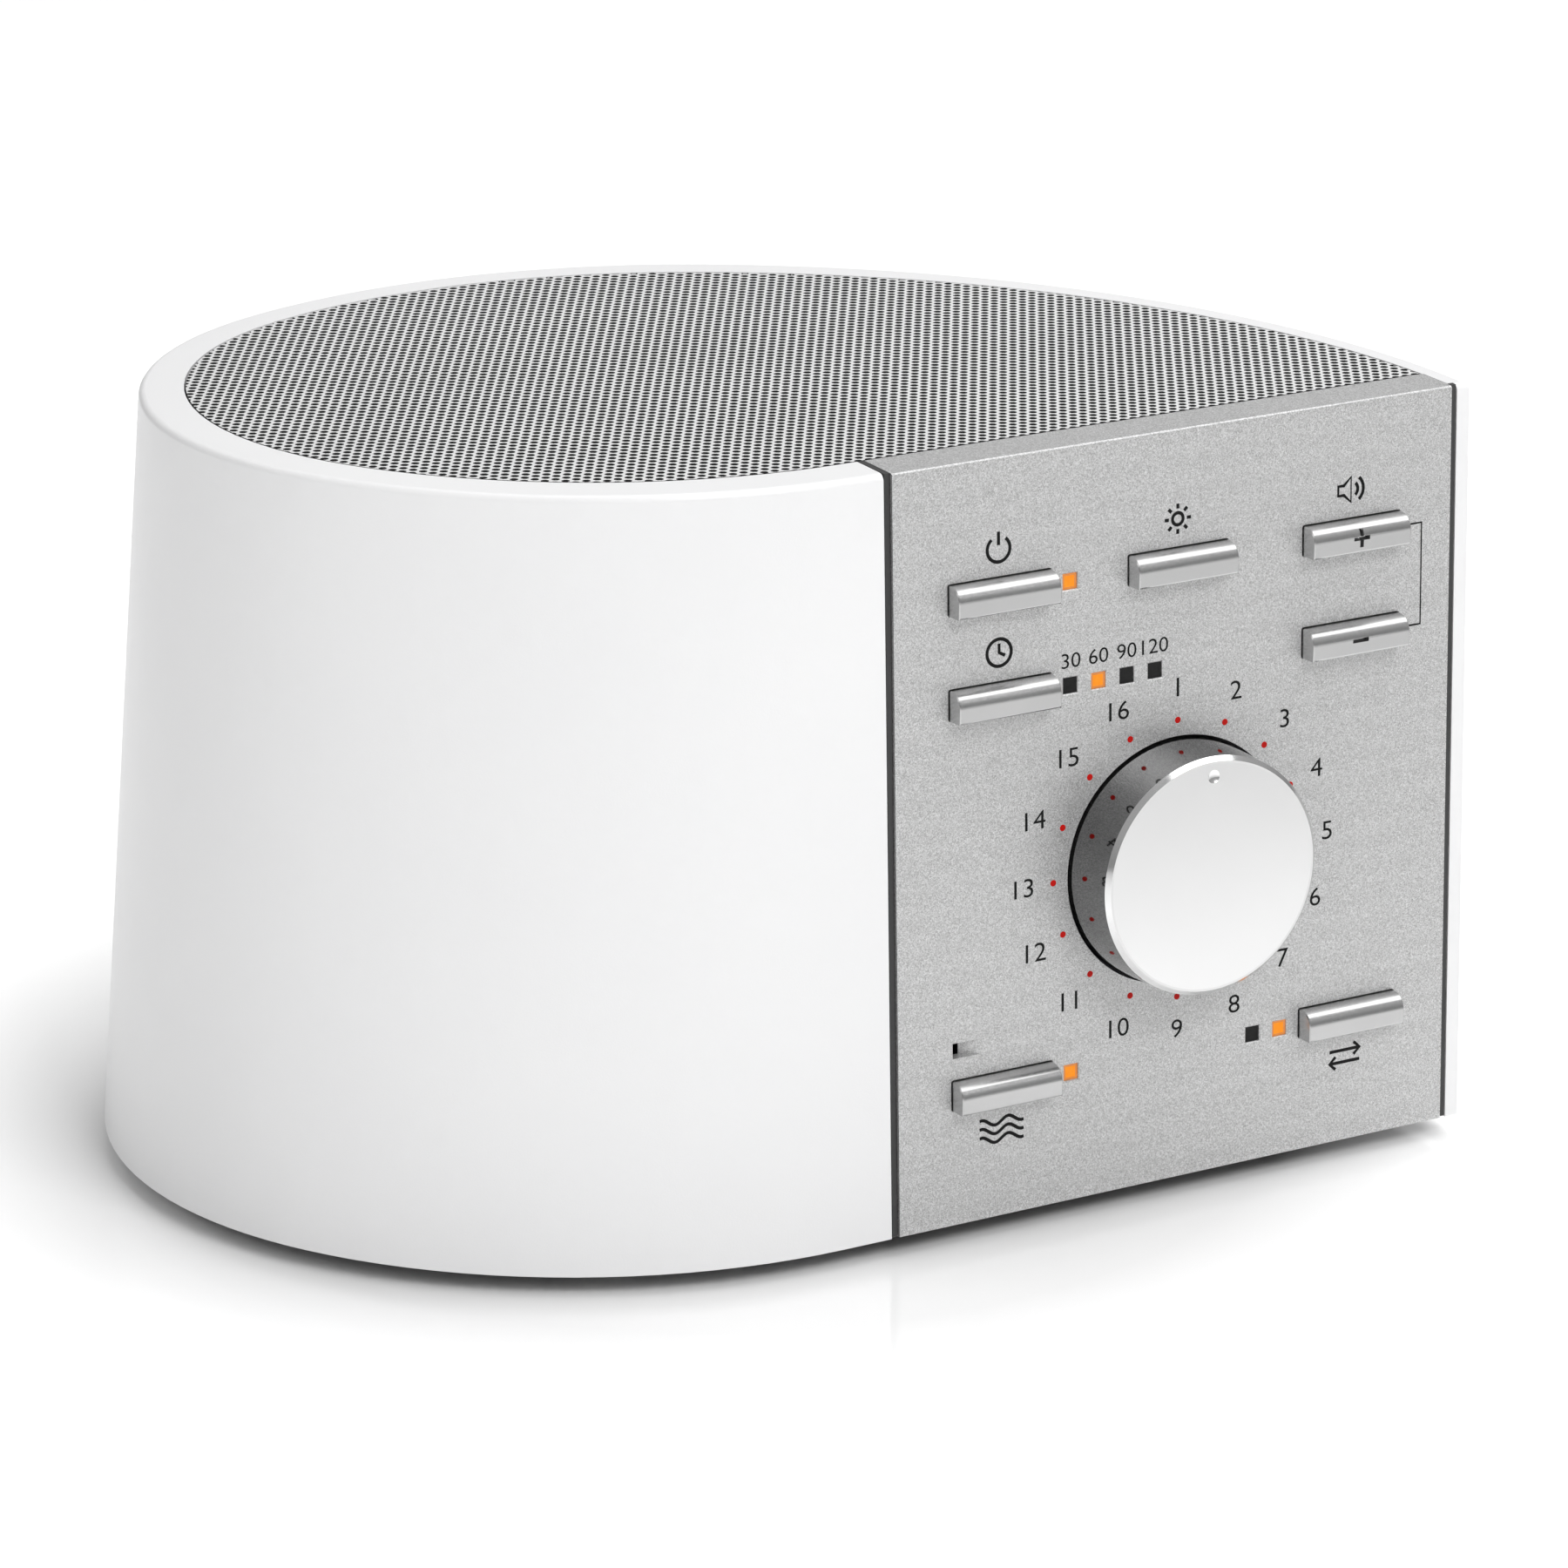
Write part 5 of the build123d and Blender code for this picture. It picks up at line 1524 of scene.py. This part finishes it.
    def dial_places(self, radius: float) -> list[Point]:
        """Gives the places round the dial.

        Args:
            radius: how far they are from its centre, in millimetres.

        Returns:
            The places, clockwise from its top.
        """
        turns = [2 * math.pi * step / self.steps for step in range(self.steps)]
        u, v = self.dial_centre
        return [(u + radius * math.sin(turn), v + radius * math.cos(turn)) for turn in turns]

    def dots(self) -> Piece:
        """Models one domed dot and copies it round the dial.

        Returns:
            The ring of dots as one piece.
        """
        only(frame["nodes"]["control_panel"])
        radius = self.dot * MM / 2
        bpy.ops.mesh.primitive_circle_add(vertices=self.dot_sides, radius=radius, fill_type="NGON")
        dot = added("dial_dots")
        bpy.ops.object.mode_set(mode="EDIT")
        bpy.ops.mesh.select_all(action="SELECT")
        bpy.ops.mesh.extrude_region_move(TRANSFORM_OT_translate={"value": (0, 0, self.film * MM)})
        bpy.ops.mesh.inset(thickness=radius * self.dome, depth=self.film * MM / 2)
        face_outwards()
        done()
        ring = [copied(dot, self.panel.matrix(u, v)) for u, v in self.dial_places(self.dot_ring)]
        bpy.data.objects.remove(dot)
        return joined(ring, "dial_dots")

    def inked(self, piece: Piece, material: Material) -> None:
        """Inks a piece that is printed on the cabinet, and reports it.

        Args:
            piece: the piece.
            material: the ink.
        """
        piece.data.materials.clear()
        piece.data.materials.append(material)
        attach(piece, "cabinet")
        LOG.info("%s: %d faces", piece.name, len(piece.data.polygons))

    def build(self, finishes: Finishes) -> None:
        """Prints everything on the panel.

        Args:
            finishes: all the finishes.
        """
        for symbol, u, v in self.symbols:
            self.inked(self.symbol(symbol, u, v), finishes.ink)
        minutes = [self.number(words, self.timer_height, u, v) for words, u, v in self.minutes]
        self.inked(joined(minutes, "timer_numbers"), finishes.ink)
        places = enumerate(self.dial_places(self.number_ring), start=1)
        scale = [self.number(str(count), self.dial_height, u, v) for count, (u, v) in places]
        self.inked(joined(scale, "dial_numbers"), finishes.ink)
        self.inked(self.dots(), finishes.dots)
        place = self.panel.matrix(0, 0, self.film / 2)
        self.inked(self.line(self.bracket, self.bracket_stroke, "volume_bracket", place), finishes.ink)


# ------------------------------------------------------------------- studio


@dataclass
class Studio:
    """Floor, lights, world and camera.

    Attributes:
        eye: where the camera stands.
        look: the direction in which it looks.
        lens: its focal length in millimetres.
        sensor: the width of its film in millimetres.
        far: the distance up to which it sees.
        floor_size: the length of the floor's sides.
        floor_grey: the floor's grey.
        floor_rough: its roughness.
        glow: two rises of the floor's glow, painted light that lifts its shade, which are multiplied, each
            with its centre, the distances at which it starts and is full, and its value there.
        surround: the grey of the world at each share of the way up from the horizon.
        lights: each light's name, place, aim, width, depth and power.
    """

    eye: Vector = field(default_factory=lambda: Vector((-0.38671, -0.71136, 0.32466)))
    look: Vector = field(default_factory=lambda: Vector((0.46149, 0.82541, -0.32516)))
    lens: float = 145.38
    sensor: float = 36.0
    far: float = 100.0
    floor_size: float = 30.0
    floor_grey: float = 0.96
    floor_rough: float = 0.1
    glow: tuple[tuple[Place, float, float, float], ...] = (
        ((0.0, 0.0, 0.0), 0.078, 0.115, 1.0),
        ((0.35, -0.5, 0.0), 0.3, 0.6, 0.34),
    )
    surround: tuple[tuple[float, float], ...] = (
        (0.0, 0.24), (0.15, 0.32), (0.4, 0.4), (0.7, 0.42), (1.0, 0.42),
    )
    lights: tuple[tuple[str, Place, Place, float, float, float], ...] = (
        ("overhead_light", (0.62, 0.0, 1.2), (0.62, 0.0, 0.0), 1.2, 1.3, 11.0),
        ("front_light", (0.15, -1.35, 1.3), (0, 0, 0.05), 0.9, 0.6, 13.5),
        ("left_light", (-1.4, -0.4, 1.3), (0, 0, 0.05), 0.9, 0.6, 1.8),
    )

    def floor(self) -> None:
        """Lays a plain pale floor with a slight sheen, which glows away from the machine as painted light:
        it lifts the shadow round the machine beyond a narrow band, and stays dimmer in front and to the
        right.

        It can be seen through from below.
        """
        bpy.ops.mesh.primitive_plane_add(size=self.floor_size)
        piece = added("floor")
        shader = Shader("floor_finish")
        tree = shader.tree
        rises = []
        # Painted light: the floor's glow is zero close to the machine and towards the front right, and rises
        # away from both.
        for centre, near, full, value in self.glow:
            away = add(tree, "VectorMath")
            away.operation = "DISTANCE"
            put(tree, away.inputs[0], shader.place)
            put(tree, away.inputs[1], centre)
            rise = add(tree, "MapRange", From_Min=near, From_Max=full, To_Max=value)
            put(tree, rise.inputs["Value"], away.outputs["Value"])
            rises.append(rise.outputs[0])
        fill(
            tree,
            shader.main,
            Base_Color=(*grey(self.floor_grey), 1.0),
            Roughness=self.floor_rough,
            Emission_Color=(1.0, 1.0, 1.0, 1.0),
            Emission_Strength=reckon(tree, "MULTIPLY", *rises),
        )
        mix = add(tree, "MixShader", Fac=add(tree, "NewGeometry").outputs["Backfacing"])
        put(tree, mix.inputs[1], shader.main.outputs[0])
        put(tree, mix.inputs[2], add(tree, "BsdfTransparent").outputs[0])
        fill(tree, tree.nodes["Material Output"], Surface=mix.outputs[0])
        piece.data.materials.append(shader.material)

    def world(self) -> None:
        """Makes a soft surround that is darker towards the horizon and below it."""
        world = bpy.data.worlds.new("studio")
        bpy.context.scene.world = world
        world.use_nodes = True
        tree = world.node_tree
        split = add(tree, "SeparateXYZ", Vector=add(tree, "TexCoord").outputs["Generated"])
        ramp = add(tree, "ValToRGB", Fac=split.outputs["Z"])
        stops = ramp.color_ramp.elements
        while len(stops) < len(self.surround):
            stops.new(0.5)
        for stop, (at, value) in zip(stops, self.surround):
            stop.position = at
            stop.color = (*grey(value), 1.0)
        fill(tree, tree.nodes["Background"], Color=ramp.outputs["Color"], Strength=1.0)

    def light(self, name: str, place: Place, aim: Place, wide: float, deep: float, power: float) -> None:
        """Hangs one soft light.

        Args:
            name: its name.
            place: where it hangs.
            aim: where it points.
            wide: its width.
            deep: its depth.
            power: its power in watts.
        """
        lamp = bpy.data.lights.new(name, "AREA")
        lamp.shape = "RECTANGLE"
        lamp.size = wide
        lamp.size_y = deep
        lamp.energy = power
        self.hang(name, lamp, Vector(place), Vector(aim) - Vector(place))

    def camera(self) -> None:
        """Sets up the camera."""
        lens = bpy.data.cameras.new("camera")
        lens.lens = self.lens
        lens.sensor_width = self.sensor
        lens.clip_end = self.far
        bpy.context.scene.camera = self.hang("camera", lens, self.eye, self.look)

    @staticmethod
    def hang(name: str, data: bpy.types.ID, place: Vector, look: Vector) -> Piece:
        """Hangs a light or the camera in the studio.

        Args:
            name: its name.
            data: its settings.
            place: where it hangs.
            look: the direction in which it looks.

        Returns:
            The light or the camera.
        """
        piece = bpy.data.objects.new(name, data)
        bpy.context.scene.collection.objects.link(piece)
        piece.location = place
        piece.rotation_euler = look.to_track_quat("-Z", "Y").to_euler()
        return piece

    def build(self) -> None:
        """Sets the whole studio."""
        self.floor()
        self.world()
        for light in self.lights:
            self.light(*light)
        self.camera()
        bpy.context.scene.view_settings.view_transform = "Standard"


def main() -> None:
    """Builds the looks piece by piece."""
    logging.basicConfig(level=logging.INFO, format="%(message)s")
    bpy.ops.object.select_all(action="DESELECT")
    Studio().build()
    finishes = Finishes()
    finishes.dress_frame()
    Shell().build(finishes)
    panel = PanelFrame()
    Panel(panel).build(finishes)
    for name, place, sign in BUTTONS:
        PushButton(panel, name, place, sign).build(finishes)
    Dial(panel).build(finishes)
    Printing(panel).build(finishes)
    Grille().build(finishes)


if __name__ == "__main__":
    main()
